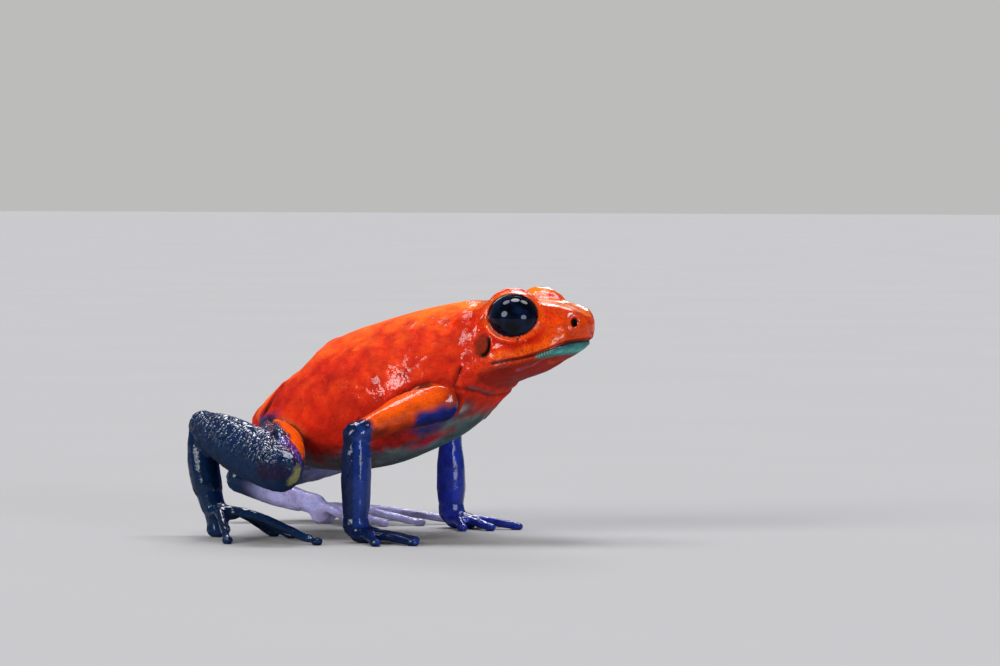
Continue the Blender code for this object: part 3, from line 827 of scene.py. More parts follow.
def paint_trunk(paint):
    # Back and flank: redder to the rear. Where the skin faces up, the orange is painted light from
    # above.
    sky = smoothstep(0.55, 1.0, UP + 0.35 * MOTTLE + 0.2 * FLECK)
    rear = smoothstep(0.5, -7.5, points[:, 0]) * TORSO
    paint.lay(0xBE1C04, 0.6 * rear)
    # painted ridges: painted light on their crests where they face up, painted shade in their
    # furrows
    folds = ridges(points * (1, 1, 1.3), 0.62, 2)
    paint.lay(0xE24006, 0.55 * TORSO * smoothstep(0.72, 0.97, folds) * smoothstep(-0.2, 0.3, UP))
    paint.lay(0x9A1003, 0.5 * TORSO * smoothstep(0.62, 0.25, folds) * smoothstep(0.8, 0.3, UP))
    paint.lay(0xF46208, 0.9 * sky)
    # the nape is painted a lighter orange where it faces up: painted light from above
    nape = smoothstep(-1.5, 3.5, points[:, 0]) * smoothstep(0.6, 0.95, UP + 0.4 * MOTTLE)
    paint.lay(0xF8780A, 0.85 * nape)
    # Belly: painted shade first, a darker red where the flank turns under, then a grey ground, then
    # pale, red and crimson islands.
    low = TORSO * smoothstep(0.25, 0.65, -UP + 0.4 * MOTTLE)
    paint.lay(0x8A1206, 0.6 * low)
    under = TORSO * smoothstep(0.62, 0.86, -UP + 0.25 * MOTTLE + 0.2 * FLECK)
    paint.lay(0x41585F, 0.85 * under)
    paint.lay(0x3E5858, patch(CHEST_MIDDLE, 1.1) * TORSO * smoothstep(0.2, 0.5, -UP))
    paint.lay(0x5E746E, 0.9 * patch(CHEST_GREY, 0.28) * TORSO)
    paint.lay(0x5C7478, 0.9 * patch(BELLY_GREY_PATH, 0.46) * TORSO)
    paint.lay(0x93A096, 0.8 * patch(CHEST_PALE, 0.18) * TORSO)
    paint.lay(0x8A9890, 0.7 * patch(BELLY_PALE, 0.2) * TORSO)
    paint.lay(0xB01204, 0.9 * patch(BELLY_RED_PATH, 0.52) * TORSO)
    paint.lay(0xA8052E, 0.95 * patch(CRIMSON_PATH, 0.40) * TORSO)
    # Breast: a red triangle between the arms.
    height = points[:, 2] - BREAST_LOW
    triangle = smoothstep(0.2, 0.0, np.abs(points[:, 1] + 0.3 * WANDER[:, 1]) - 0.82 * height)
    triangle *= smoothstep(0, 0.3, height) * smoothstep(3.6, 4.0, points[:, 0])
    paint.lay(0xD42A0C, triangle * TORSO * smoothstep(BREAST_HIGH, 8.3, points[:, 2]))
    paint.lay(0xC8260A, 0.9 * patch(CHEST_RED, 0.34, 0.12) * np.clip(TORSO + HEAD, 0, 1))
    # Rump and hip: an orange rim, and a navy crescent that fades to violet.
    paint.lay(0xE8640C, 0.8 * patch(RUMP_RIM, 0.30, 0.12, 0.1) * TORSO)
    paint.lay(0x4A1460, 0.6 * patch(HIP_NAVY, 0.46, 0.14, 0.1) * TORSO)
    paint.lay(0x26345C, 0.95 * patch(HIP_NAVY, 0.34, 0.14, 0.1) * TORSO)
    paint.lay(0xEE560A, patch(HIP_ORANGE, 0.22, 0.10, 0.1) * TORSO)


paint_trunk(paint)
print("share of the vertices that lie on the trunk:", round(float(TORSO.mean()), 2))

# %% [markdown]
# ### The head
#
# The head is orange above, which is painted light from above, and red on the cheek, with a
# teal lower lip. The slit of the mouth, the nostril, the eardrum's edge and the skin inside the
# lids are painted nearly black, as painted shade in these hollows, and come last so that
# nothing covers them.

# %% The head
TEAL_X = (8.2, 8.53, 8.83, 9.1, 9.6, 10.1, 10.4)
TEAL_Z = (10.3, 10.31, 10.37, 10.44, 10.52, 10.66, 10.8)  # the lower edge of the teal lip
NAPE_SIDE = ((4.4, -2.9, 12.6), (4.6, -3.1, 12.0))
CHIN_HIGHLIGHT = ((7.2, -2.6, 9.6), (7.9, -2.3, 9.95), (8.7, -2.0, 10.3))
CHIN_RED = ((8.33, -0.1, 9.98), (8.5, -0.9, 10.1))


def paint_head(paint):
    lip, lips = lip_height(SIDE), on_lips(SIDE)
    # Cheek and snout, the snout lighter with painted light, and the orange ring round the eye with
    # a painted red shadow below it.
    cheek_side = HEAD * smoothstep(0.75, 0.35, UP)
    paint.lay(0xD83208, 0.8 * cheek_side)
    # the snout is painted a lighter orange-red: painted light where it turns away from the lamps
    snout = smoothstep(8.2, 9.2, points[:, 0]) * HEAD
    paint.lay(0xE8480C, 0.85 * snout * cheek_side)
    reach, _, rim, ahead = eye_measure(points)
    orbit = HEAD * (ahead > BEHIND_EYE)
    paint.lay(0xF0560A, 0.7 * orbit * smoothstep(1.35, 1.15, rim))
    # a painted shadow, deep red, in the hollow under the eye
    shade = bell(rim - 1.36, 0.16) * smoothstep(12.3, 11.5, points[:, 2]) * orbit
    paint.lay(0xAE0F03, 0.85 * shade * smoothstep(0.1, 0.5, lip))
    paint.lay(0xEE5E0C, 0.8 * patch(UPPER_LIP, 0.20, 0.18, 0.3) * HEAD)
    paint.lay(0xBE1C04, 0.6 * patch(NAPE_SIDE, 0.5, 0.3) * HEAD)
    # Jaw and throat, with a grey-violet painted highlight along the jaw and a few grey clouds.
    jaw = HEAD * smoothstep(0.02, -0.35, lip + 0.3 * MOTTLE) * smoothstep(0.55, 0.2, UP)
    jaw *= smoothstep(5.0, 6.2, points[:, 0] - 0.2 * lip + 0.8 * MOTTLE)
    paint.lay(0xA8240C, 0.9 * jaw)
    throat = HEAD * smoothstep(0.25, 0.75, -UP + 0.3 * MOTTLE)
    paint.lay(0x9A1806, 0.85 * throat)
    # a painted highlight, grey-violet, along the jaw
    paint.lay(0xA06070, 0.6 * patch(CHIN_HIGHLIGHT, 0.16, 0.12, 0.5) * HEAD)
    paint.lay(0x5E5A62, 0.45 * throat * smoothstep(0.05, 0.35, MOTTLE + 0.3 * FLECK))
    paint.lay(0xC83C10, 0.8 * patch(CHIN_RED, 0.16, 0.1) * HEAD)
    paint.lay(0xA0420E, 0.75 * jaw * bell(lip + 0.16, 0.13))
    # The teal lip, brighter along its lower edge.
    front = smoothstep(8.2, 8.7, SIDE[:, 0] + 0.3 * FLECK)
    edge = np.interp(SIDE[:, 0], TEAL_X, TEAL_Z) + 0.08 * FLECK
    band = smoothstep(0.02, -0.04, lip) * smoothstep(-0.04, 0.04, points[:, 2] - edge)
    paint.lay(0x387272, front * band * HEAD)
    aqua = bell(points[:, 2] - edge - 0.14, 0.12) * smoothstep(8.9, 9.6, SIDE[:, 0] + 0.3 * FLECK)
    paint.lay(0x60BCB0, front * band * aqua * HEAD)
    # The brown eardrum, then painted shade: nearly black in the slit of the mouth, the nostril, the
    # eardrum's edge, the notch under the lid and inside the lids.
    drum, drum_front, lateral = eardrum_measure(SIDE)
    paint.lay(0x5A1C08, 0.8 * smoothstep(1.15, 0.6, drum + 0.4 * FLECK) * lateral * HEAD)
    dark = 1.3 * bell(drum - 0.90, 0.20) * smoothstep(0.15, 0.6, drum_front) * lateral * HEAD
    slit_width = 0.055 + 0.045 * smoothstep(8.9, 9.5, SIDE[:, 0])
    dark = np.maximum(dark, bell(lip + 0.01, slit_width) * lips * HEAD)
    dark = np.maximum(dark, smoothstep(0.26, 0.16, nostril_distance(SIDE)) * HEAD)
    dark = np.maximum(dark, 1.2 * bell(notch_distance(SIDE), 0.10) * HEAD)
    paint.lay(0x080304, dark)
    # painted shade inside the lids, where the skin meets the eyeball
    paint.lay(0x080304, HEAD * smoothstep(1.05, 1.0, rim) * (ahead > 0) * (reach < 1.3))


paint_head(paint)
print("share of the vertices that lie on the head:", round(float(HEAD.mean()), 2))

# %% [markdown]
# ### The arms
#
# The upper arms are orange with a blue patch in the armpit, and painted shade darkens them
# underneath. The forearms and hands are navy, lighter in front and inside with painted light.
# The border at the elbow is like the end of a sleeve: a rounded corner, seen from the side.

# %% The arms
BLUE_PATCH = ((2.5, -4.6, 6.85), (2.9, -4.45, 6.95), (3.4, -4.15, 7.15), (3.9, -3.65, 7.3))
ARMPIT_BLUE = ((3.3, -2.7, 6.9), (2.6, -2.7, 6.5), (1.7, -3.0, 6.3))
ELBOW_SHADE = ((0.1, -5.8, 6.3), (0.45, -5.6, 6.15))
LOW_ARM = ((2.0, -4.3, 6.5), (2.6, -4.1, 6.6), (3.4, -3.6, 6.9))
ELBOW_EDGE = {"right": (-0.03, -5.98), "left": (0.46, -5.93)}  # x and y of the sleeve's end
ELBOW_TOP, ELBOW_ROUND = 6.52, 0.30
ALONG_ARM = (0.9135, 0.4067)  # the sleeve's end runs across this way, 24 degrees off the body


def on_side(word):
    return points[:, 1] < 0 if word == "right" else points[:, 1] > 0


def paint_arms(paint):
    arm = part("upper_arm")
    paint.lay(0xE45208, arm)
    # painted shade: the upper arm is darker underneath
    paint.lay(0xB03206, 0.8 * arm * smoothstep(0.25, -0.5, UP))
    paint.lay(0x4A1408, 0.8 * patch(ELBOW_SHADE, 0.24, 0.2) * arm)
    paint.lay(0xB02C08, 0.85 * arm * smoothstep(2.7, 4.0, points[:, 0] + 0.5 * WANDER[:, 0]))
    # more painted shade where the arm faces the floor
    paint.lay(0x8A2408, 0.7 * arm * smoothstep(-0.45, -0.8, UP))
    elbow = np.zeros(len(points))
    for word, (edge_x, edge_y) in ELBOW_EDGE.items():
        along = ALONG_ARM[0] * (points[:, 0] - edge_x) + ALONG_ARM[1] * (SIDE[:, 1] - edge_y)
        along += ELBOW_ROUND
        over = points[:, 2] - ELBOW_TOP
        corner = np.hypot(np.maximum(along, 0), np.maximum(over, 0)) - ELBOW_ROUND
        inside = smoothstep(0.06, -0.06, corner + 0.25 * WANDER[:, 0])
        elbow = np.maximum(elbow, inside * on_side(word))
    violet = patch(BLUE_PATCH, 0.66, 0.2) * smoothstep(0.3, 0.0, UP) * arm
    paint.lay(0x5A1A30, 0.55 * violet)
    paint.lay(0x10206E, patch(BLUE_PATCH, 0.52) * smoothstep(0.12, -0.1, UP) * arm)
    # a dark navy painted shadow along the underside of the arm, near the armpit
    paint.lay(0x141C50, 0.9 * patch(LOW_ARM, 0.5, 0.2) * smoothstep(-0.2, -0.5, UP) * arm)
    paint.lay(0x23357A, 0.85 * patch(ARMPIT_BLUE, 0.40) * np.clip(arm + TORSO, 0, 1))
    forearm = part("forearm", "hand")
    forearm = np.clip(forearm + elbow * arm, 0, 1)
    paint.lay(0x03163C, forearm)
    # painted light: a lighter blue where the forearm faces forwards, a brighter one where it faces
    # inwards
    paint.lay(0x1E3E90, 0.6 * forearm * smoothstep(0.1, 0.7, AHEAD + 0.2 * MOTTLE))
    paint.lay(0x2636B0, 0.7 * forearm * smoothstep(0.1, -0.7, OUTWARD))


paint_arms(paint)
print("the sleeve ends", round(ELBOW_TOP, 1), "mm above the floor")

# %% [markdown]
# ### The hind legs
#
# The hind legs are navy, with an orange band on the front of the thigh and olive at the knee,
# partly a painted sheen. The inner side of the left foot, which shows under the body, and the
# underside of the left leg are pale violet, which is painted light.

# %% The hind legs
THIGH_ORANGE = {
    "right": ((-7.0, -3.1, 6.6), (-6.2, -3.9, 6.3), (-5.1, -5.4, 5.9), (-4.5, -6.0, 5.5),
              (-3.95, -6.9, 5.15)),
    "left": ((-7.6, 3.0, 6.4), (-6.9, 4.6, 6.0), (-6.5, 6.4, 5.6), (-6.4, 7.6, 5.4)),
}
THIGH_VIOLET = ((-5.2, -4.2, 4.9), (-4.4, -5.7, 4.6), (-3.55, -7.5, 4.45))
KNEE_BLUE = ((-4.3, -8.2, 5.6), (-3.7, -8.2, 5.2), (-3.2, -8.8, 4.9))
KNEE_DARK = ((-3.7, -10.3, 4.1), (-4.6, -10.4, 4.2))
OLIVE_RIGHT = ((-3.02, -9.55, 4.3), (-3.1, -9.7, 3.8))
OLIVE_LEFT = ((-5.9, 10.4, 4.6),)


def paint_legs(paint):
    leg = np.clip(1.6 * part("thigh", "shank", "tarsus", "foot"), 0, 1)
    paint.lay(0x062040, leg)
    paint.lay(0x35309A, 0.8 * patch(KNEE_BLUE, 0.62, 0.3, place=points) * leg)
    paint.lay(0x1C0A26, 0.8 * patch(KNEE_DARK, 0.5, 0.3, place=points) * leg)
    # painted highlight: a brighter blue on the inner side of the right shank, tarsus and foot
    inner = smoothstep(0.15, -0.45, OUTWARD + 0.2 * MOTTLE)
    paint.lay(0x1B3FA0, 0.7 * part("tarsus", "foot", "shank") * inner * (points[:, 1] < 0))
    for word, path in THIGH_ORANGE.items():
        orange = patch(path, 0.85, 0.14, place=points) * part("thigh") * on_side(word)
        paint.lay(0xFF680A, orange * smoothstep(-0.5, -0.1, AHEAD + 0.5 * UP))
    paint.lay(0x200A2C, 0.9 * patch(THIGH_VIOLET, 0.34, 0.14, place=points) * part("thigh"))
    # olive at the knees: partly the skin's own colour, partly a painted sheen
    olive = patch(OLIVE_RIGHT, 0.36, place=points)
    olive = np.maximum(olive, patch(OLIVE_LEFT, 0.40, place=points))
    paint.lay(0x8F8C50, 0.75 * olive * leg)
    # painted light: pale violet on the inner side of the left tarsus and foot
    pale = part("tarsus", "foot") * smoothstep(0.7, -0.2, OUTWARD) * (points[:, 1] > 0)
    paint.lay(0xA6A4D2, 0.9 * pale * smoothstep(-13.4, -11.4, points[:, 0] + 0.4 * MOTTLE))
    # painted light: pale grey-violet under the left thigh and shank
    lit_underside = part("thigh", "shank") * smoothstep(-0.1, -0.5, UP) * (points[:, 1] > 0)
    paint.lay(0x7E80A8, 0.75 * lit_underside * smoothstep(-12.0, -10.0, points[:, 0]))


paint_legs(paint)
legs = part("thigh", "shank", "tarsus", "foot")
print("share of the vertices that lie on the hind legs:", round(float(legs.mean()), 2))

# %% [markdown]
# ### Shade in the folds
#
# Little light gets into a fold of skin, and a renderer loses some of that darkness where the
# fold is narrower than a few faces. So each furrow that was pressed in gets a dark line in its
# bottom. The paths are laid on the skin once more, because the sculpting has moved it.

# %% Dark lines
FOLD_SHADES = (  # path, colour, amount, width, and the points that it is measured from
    (JAW_CREASE, 0x2C0604, 0.95, 0.12, SIDE),
    (THROAT_FOLD, 0x3A0804, 0.8, 0.11, SIDE),
    (ARM_CREASE, 0x3A0804, 0.85, 0.10, SIDE),
    (RUMP_FOLD, 0x12020A, 0.95, 0.15, SIDE),
    (KNEE_FOLD, 0x02040E, 0.9, 0.10, points),
)

paint.lay(0x1C0305, 0.8 * bell(groove, 0.10))
paint.lay(0x14060C, 0.85 * patch(HIP_SHADE, 0.14, 0.12, 0.1) * TORSO)
for path, shade, amount, width, place in FOLD_SHADES:
    paint.lay(shade, amount * bell(path_distance(place, on_skin(path)), width))
print(len(FOLD_SHADES), "folds shaded, mean colour", np.round(paint.tint.mean(axis=0), 3))

# %% [markdown]
# ### What the material needs to know
#
# The material draws what is finer than the mesh, and has to know where. So each vertex also
# carries a few masks from 0 to 1: where the granules of the hind legs are, where the skin is
# loose or speckled, and where the small ribs of the lower lip are.

# %% Masks for the material


def store(name, values, kind):
    attribute = skin.data.attributes.new(name, kind, "POINT")
    key = "color" if kind == "FLOAT_COLOR" else "value"
    attribute.data.foreach_set(key, values.astype(np.float32).ravel())
    print(f"{name:9s} mean {values.mean():.3f}")


ribs = HEAD * smoothstep(8.3, 8.7, SIDE[:, 0]) * smoothstep(9.4, 8.9, SIDE[:, 0])
ribs = ribs * bell(lip_height(SIDE) + 0.14, 0.12)
store("tint", np.column_stack((paint.tint, np.ones(len(points)))), "FLOAT_COLOR")
blue = 1 - smoothstep(0.10, 0.30, paint.tint[:, 0])
grain = part("shank", "thigh", rounds=8) * (1 - bell(groove, 0.1)) * smoothstep(-0.6, 0.35, UP)
store("grainy", grain * blue, "FLOAT")
store("loose", part("torso", rounds=8), "FLOAT")
store("speckled", 0.16 + 0.30 * HEAD + 0.10 * part("upper_arm"), "FLOAT")
store("ribbed", ribs, "FLOAT")

# %% [markdown]
# ### Wet and dry
#
# A live frog isn't evenly wet. Mucus stands in patches on the flank, the nape and the temple,
# and makes a clear film on the brows, the arms and the hind legs, while the rest of the trunk
# and all that faces down is nearly dry. Two masks say so: dry takes the gloss away, and film
# lays a clear coat over the colour.

# %% Wet and dry masks
WET_PATCHES = (  # path, radius, softness, raggedness and amount
    (((-1.0, -4.1, 8.3), (-0.2, -4.2, 8.65), (0.9, -4.1, 8.95)), 0.55, 0.25, 0.5, 1.0),
    (((0.1, -4.0, 9.3), (0.8, -3.9, 9.9), (1.2, -3.8, 10.4)), 0.55, 0.3, 0.5, 0.66),
    (((0.0, -2.5, 11.5), (2.0, -2.3, 12.0), (4.0, -2.7, 12.4)), 0.45, 0.35, 0.5, 0.56),
    (((4.0, -2.8, 12.3), (4.3, -3.2, 11.4), (4.0, -3.4, 10.5)), 0.35, 0.3, 0.4, 0.62),
    (((4.6, -3.4, 9.8), (4.3, -3.4, 9.3)), 0.35, 0.25, 0.5, 0.60),
)
DRY_PIT = (-5.6, -7.0, 6.0)  # the fold behind the right knee


def shine_masks():
    """Where the skin is dry, and where a film of water lies on it."""
    patches = [amount * patch(path, *edge) for path, *edge, amount in WET_PATCHES]
    wet = np.maximum.reduce(patches)
    drum, _, lateral = eardrum_measure(SIDE)
    dry = np.clip(TORSO * (1 - wet) + HEAD * smoothstep(1.3, 1.0, drum) * lateral, 0, 1)
    leg = part("shank", "thigh")
    pit = bell(spot_distance(points, DRY_PIT), 0.5)
    rear_arm = part("forearm") * smoothstep(0.05, -0.25, AHEAD)
    under = np.maximum(smoothstep(-0.1, -0.5, UP), leg * smoothstep(0.45, 0.05, UP))
    dry = np.maximum.reduce([dry, under, pit, rear_arm])
    _, _, rim, ahead = eye_measure(points)
    brow = HEAD * (ahead > BEHIND_EYE) * smoothstep(1.9, 1.4, rim) * smoothstep(0.2, 0.5, UP)
    ridge = bell(path_distance(SIDE, on_skin(CANTHUS)), 0.35) * HEAD
    arms = 0.5 * part("upper_arm") + 0.12 * part("forearm", "hand", "tarsus", "foot")
    film = np.maximum.reduce([0.5 * brow, ridge, 0.2 * HEAD, arms, 0.5 * wet * TORSO, 0.42 * leg])
    return blurred(dry, edges, 4), blurred(film * (1 - dry), edges, 4)


dry, film = shine_masks()
store("dry", dry, "FLOAT")
store("film", film, "FLOAT")

# %% [markdown]
# ## Materials
#
# Colours are written as the hex values a screen shows, and turned into linear light once.
# Pattern sizes are in millimetres. One helper adds a node of any kind, sets its inputs, links
# those that come from another node, and returns the output that the next one needs. Node
# trees built this way read from top to bottom, like the layers on a real surface.

# %% Node helper


def add_node(tree, kind, inputs=None, output=0, **settings):
    """Adds a node and returns one of its outputs. An input is a value or another's output."""
    made = tree.nodes.new("ShaderNode" + kind)
    for name, value in settings.items():
        setattr(made, name, value)
    for key, value in (inputs or {}).items():
        if isinstance(value, bpy.types.NodeSocket):
            tree.links.new(value, made.inputs[key])
        else:
            made.inputs[key].default_value = value
    return made.outputs[output] if made.outputs else None


def new_material(name):
    material = bpy.data.materials.new(name)
    material.use_nodes = True
    material.node_tree.nodes.clear()
    return material, material.node_tree


print("screen grey 0x808080 is", round(colour(0x808080)[0], 2), "in linear light")

# %% [markdown]
# ### Patterns of the skin
#
# The painted colour is the ground, and the material adds what is finer than the mesh: a
# mottle, dark flecks about a tenth of a millimetre wide, light specks between them, the
# granules of the hind legs with a pale blue painted glint on their tips, and the ribs of the
# lower lip. Each starts as a noise, cells or a wave at its real size, and is stretched so that
# only its peaks are left.

# %% Patterns of the skin
SKIN_NOISES = {  # size in mm, detail, and the values of the noise that become 0 and 1
    "mottle": (0.8, 3.0, 0.40, 0.62),
    "flecks": (0.10, 1.0, 0.52, 0.66),
    "specks": (0.14, 1.0, 0.58, 0.74),
}
GRANULE_MM = 0.29  # real ones are about 0.1 mm, and are drawn coarser so that they show
RIB_MM = 0.125
WRINKLE_MM, PEBBLE_MM = 0.50, 0.13


def skin_patterns(tree, place):
    """The patterns that colour, gloss and relief are made of."""
    made = {}
    for name, (size, detail, low, high) in SKIN_NOISES.items():
        inputs = {"Vector": place, "Scale": 1 / (size * MM), "Detail": detail}
        inputs = {"Value": add_node(tree, "TexNoise", inputs), "From Min": low, "From Max": high}
        made[name] = add_node(tree, "MapRange", inputs)
    for name, size, detail in (("wrinkle", WRINKLE_MM, 2.0), ("pebble", PEBBLE_MM, 1.0)):
        inputs = {"Vector": place, "Scale": 1 / (size * MM), "Detail": detail}
        made[name] = add_node(tree, "TexNoise", inputs)
    cells = add_node(tree, "TexVoronoi", {"Vector": place, "Scale": 1 / (GRANULE_MM * MM)})
    inputs = {"Value": cells, "From Min": 0.60, "From Max": 0.08}
    made["granule"] = add_node(tree, "MapRange", inputs)
    turns = math.tau / (RIB_MM * MM)
    along = add_node(tree, "SeparateXYZ", {"Vector": place}, "X")
    angle = add_node(tree, "Math", {0: along, 1: turns}, operation="MULTIPLY")
    wave = add_node(tree, "Math", {0: angle}, operation="SINE")
    made["rib"] = add_node(tree, "MapRange", {"Value": wave, "From Min": -0.2, "From Max": 0.8})
    return made


print("granules", GRANULE_MM, "mm and ribs", RIB_MM, "mm apart")

# %% [markdown]
# ### Colour, gloss and relief of the skin
#
# Real pigment lies in layers, so the colour is built the same way: every layer has a way to
# blend, a colour, a mask and a share, and one of them is a painted glint on the granules. The
# border between wet and dry isn't a soft fade: the film tears along the wrinkles, so the mask is
# added to the wrinkle noise and cut sharply.
# What is finer than the mesh is bump, three layers one on another.

# %% Layers of the skin
WRINKLE_PULL = 2.2  # how strongly the wrinkles tear the film
FILM_WHOLE, FILM_GONE = 1.50, 1.70  # the wrinkle noise and the dry mask, added up


def skin_colour(tree, pattern, mark):
    """The painted colour with the fine patterns laid over it."""
    space = add_node(tree, "Math", {0: 0.55, 1: mark["speckled"]}, operation="SUBTRACT")
    bright = add_node(tree, "Math", {0: pattern["specks"], 1: space}, operation="MULTIPLY")
    # a pale blue painted glint on the tips of the granules
    granule_glint = add_node(tree, "Math", {0: pattern["granule"], 1: mark["grainy"]}, operation="MULTIPLY")
    rib = add_node(tree, "Math", {0: pattern["rib"], 1: mark["ribbed"]}, operation="MULTIPLY")
    layers = (
        ("MULTIPLY", 0xB89C98, pattern["mottle"], 0.5),
        ("MULTIPLY", 0x7E4A48, pattern["flecks"], mark["speckled"]),
        ("ADD", 0x2A0C04, bright, 0.3),
        ("MIX", 0x5C7CB8, granule_glint, 0.06),
        ("MIX", 0x9CC08C, rib, 0.6),
    )
    tint = add_node(tree, "Attribute", output="Color", attribute_name="tint")
    for blend, over, mask, share in layers:
        amount = add_node(tree, "Math", {0: mask, 1: share}, operation="MULTIPLY")
        inputs = {0: amount, 6: tint, 7: colour(over)}
        tint = add_node(tree, "Mix", inputs, 2, data_type="RGBA", blend_type=blend)
    return tint


def skin_shine(tree, pattern, mark):
    """The roughness, and the weight of the film of water."""
    torn = add_node(tree, "Math", {0: pattern["wrinkle"], 1: WRINKLE_PULL}, operation="MULTIPLY")
    torn = add_node(tree, "Math", {0: mark["dry"], 1: torn}, operation="ADD")
    inputs = {"Value": torn, "From Min": FILM_WHOLE, "From Max": FILM_GONE}
    torn = add_node(tree, "MapRange", inputs)
    inputs = {"Value": pattern["mottle"], "To Min": 0.14, "To Max": 0.22}
    gloss = add_node(tree, "MapRange", inputs)
    matt = add_node(tree, "Math", {0: torn, 1: 0.9}, operation="MULTIPLY")
    roughness = add_node(tree, "Math", {0: gloss, 1: matt}, operation="MAXIMUM")
    whole = add_node(tree, "Math", {0: 1.0, 1: torn}, operation="SUBTRACT")
    film = add_node(tree, "Math", {0: mark["film"], 1: whole}, operation="MULTIPLY")
    return roughness, film


def skin_bumps(tree, pattern, mark):
    """A pebble everywhere, wrinkles on loose skin, and granules on the hind legs."""
    slack = add_node(tree, "Math", {0: pattern["wrinkle"], 1: mark["loose"]}, operation="MULTIPLY")
    grain = add_node(tree, "Math", {0: pattern["granule"], 1: mark["grainy"]}, operation="MULTIPLY")
    bumps = ((pattern["pebble"], 0.009), (slack, 0.12), (grain, 0.13))  # height and depth in mm
    surface = None
    for height, depth in bumps:
        inputs = {"Height": height, "Strength": 1.0, "Distance": depth * MM}
        if surface is not None:
            inputs["Normal"] = surface
        surface = add_node(tree, "Bump", inputs)
    return surface


print("the film goes from whole to gone within", round(FILM_GONE - FILM_WHOLE, 2))

# %% [markdown]
# ### The skin
#
# The shader puts the layers together. Its base is the skin with the wrinkles in it, and its
# coat is the film of water, which only lies where the mask says so. The eye tells wet from dry
# by how small and white a highlight is, and the roughness of base and coat gives just that.

# %% Skin material
SKIN_MARKS = ("grainy", "loose", "ribbed", "speckled", "dry", "film")


def skin_material():
    # Live amphibian skin: pigment cells under a thin film of mucus and water. Its colour is
    # deep, and its highlights are small, white and broken up by the wrinkles.
    material, tree = new_material("wet_frog_skin")
    place = add_node(tree, "TexCoord", output="Object")
    mark = {}
    for name in SKIN_MARKS:
        mark[name] = add_node(tree, "Attribute", output="Fac", attribute_name=name)
    pattern = skin_patterns(tree, place)
    roughness, film = skin_shine(tree, pattern, mark)
    surface = skin_bumps(tree, pattern, mark)
    inputs = {
        "Base Color": skin_colour(tree, pattern, mark),
        "Roughness": roughness,
        "IOR": 1.27,  # skin has 1.4, less here because the film adds a gloss of its own
        "Normal": surface,
        "Coat Weight": film,
        "Coat Roughness": 0.10,
        "Coat IOR": 1.5,  # water has 1.33, more here for the white edges of brow and arm
        "Coat Normal": surface,
    }
    shader = add_node(tree, "BsdfPrincipled", inputs)
    add_node(tree, "OutputMaterial", {"Surface": shader})
    return material


skin.data.materials.clear()
skin.data.materials.append(skin_material())
skin.data.shade_smooth()
skin.data.transform(TO_CAD)
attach(skin, "root")
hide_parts(*FLESH)
print("skin material has", len(skin.data.materials[0].node_tree.nodes), "nodes")

# %% [markdown]
# ## Eyes
#
# The pupil of this small frog opens so wide that the iris hardly shows, so the eye looks
# black, with a breath of navy. The cornea swells forwards a little and is as smooth as water.
# The poles of the sphere are turned to the sides, so its finest faces are where it looks out.

# %% Eye pieces
CORNEA_SWELL = 0.03
SWELL_POWER = 6  # the higher, the closer the swelling keeps to the middle
SPHERE_SEGMENTS, SPHERE_RINGS = 96, 64


def eyeball(name, side):
    bm = bmesh.new()
    bmesh.ops.create_uvsphere(bm, u_segments=SPHERE_SEGMENTS, v_segments=SPHERE_RINGS, radius=1)
    bmesh.ops.rotate(bm, verts=bm.verts, matrix=Matrix.Rotation(math.pi / 2, 3, "X"))
    for vert in bm.verts:
        outward = max(0.0, vert.co.y * side)
        vert.co *= 1 + CORNEA_SWELL * outward**SWELL_POWER
    centre = Vector((EYE[0], EYE[1] if side < 0 else -EYE[1], EYE[2]))
    scale = Matrix.Diagonal(Vector(EYE_RADII)).to_4x4()
    bmesh.ops.transform(bm, verts=bm.verts, matrix=TO_CAD @ Matrix.Translation(centre) @ scale)
    made = bpy.data.meshes.new(name)
    bm.to_mesh(made)
    bm.free()
    made.shade_smooth()
    obj = bpy.data.objects.new(name, made)
    bpy.context.scene.collection.objects.link(obj)
    return obj


def eye_material():
    # A wide pupil under a clear, wet cornea: nearly black, with faint navy clouds of iris, and
    # mirror-like highlights.
    material, tree = new_material("wet_black_eye")
    place = add_node(tree, "TexCoord", output="Object")
    inputs = {"Vector": place, "Scale": 1 / (0.6 * MM), "Detail": 4.0}
    inputs = {"Value": add_node(tree, "TexNoise", inputs), "From Min": 0.40, "From Max": 0.75}
    clouds = add_node(tree, "MapRange", inputs)
    inputs = {0: clouds, 6: colour(0x02040A), 7: colour(0x0A1838)}
    tint = add_node(tree, "Mix", inputs, 2, data_type="RGBA")
    # A cornea has 1.38, less here so that the lamps don't bleach the black.
    shader = add_node(tree, "BsdfPrincipled", {"Base Color": tint, "Roughness": 0.04, "IOR": 1.26})
    add_node(tree, "OutputMaterial", {"Surface": shader})
    return material


black_eye = eye_material()
for side, word in ((-1, "right"), (1, "left")):
    eye = eyeball("eyeball_" + word, side)
    eye.data.materials.append(black_eye)
    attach(eye, "root")
    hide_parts("eye_" + word)
print("two eyes of", tuple(np.round(2 * EYE_RADII, 2)), "mm")

# %% [markdown]
# ## Floor
#
# The model stands on a wide sheet of matt grey paper. It is large enough to reach far behind
# the frog at every angle, and dull enough to show a soft shadow and no reflection.

# %% Floor
FLOOR_SIZE = 4.0
FLOOR_CLOUD_MM = 30.0


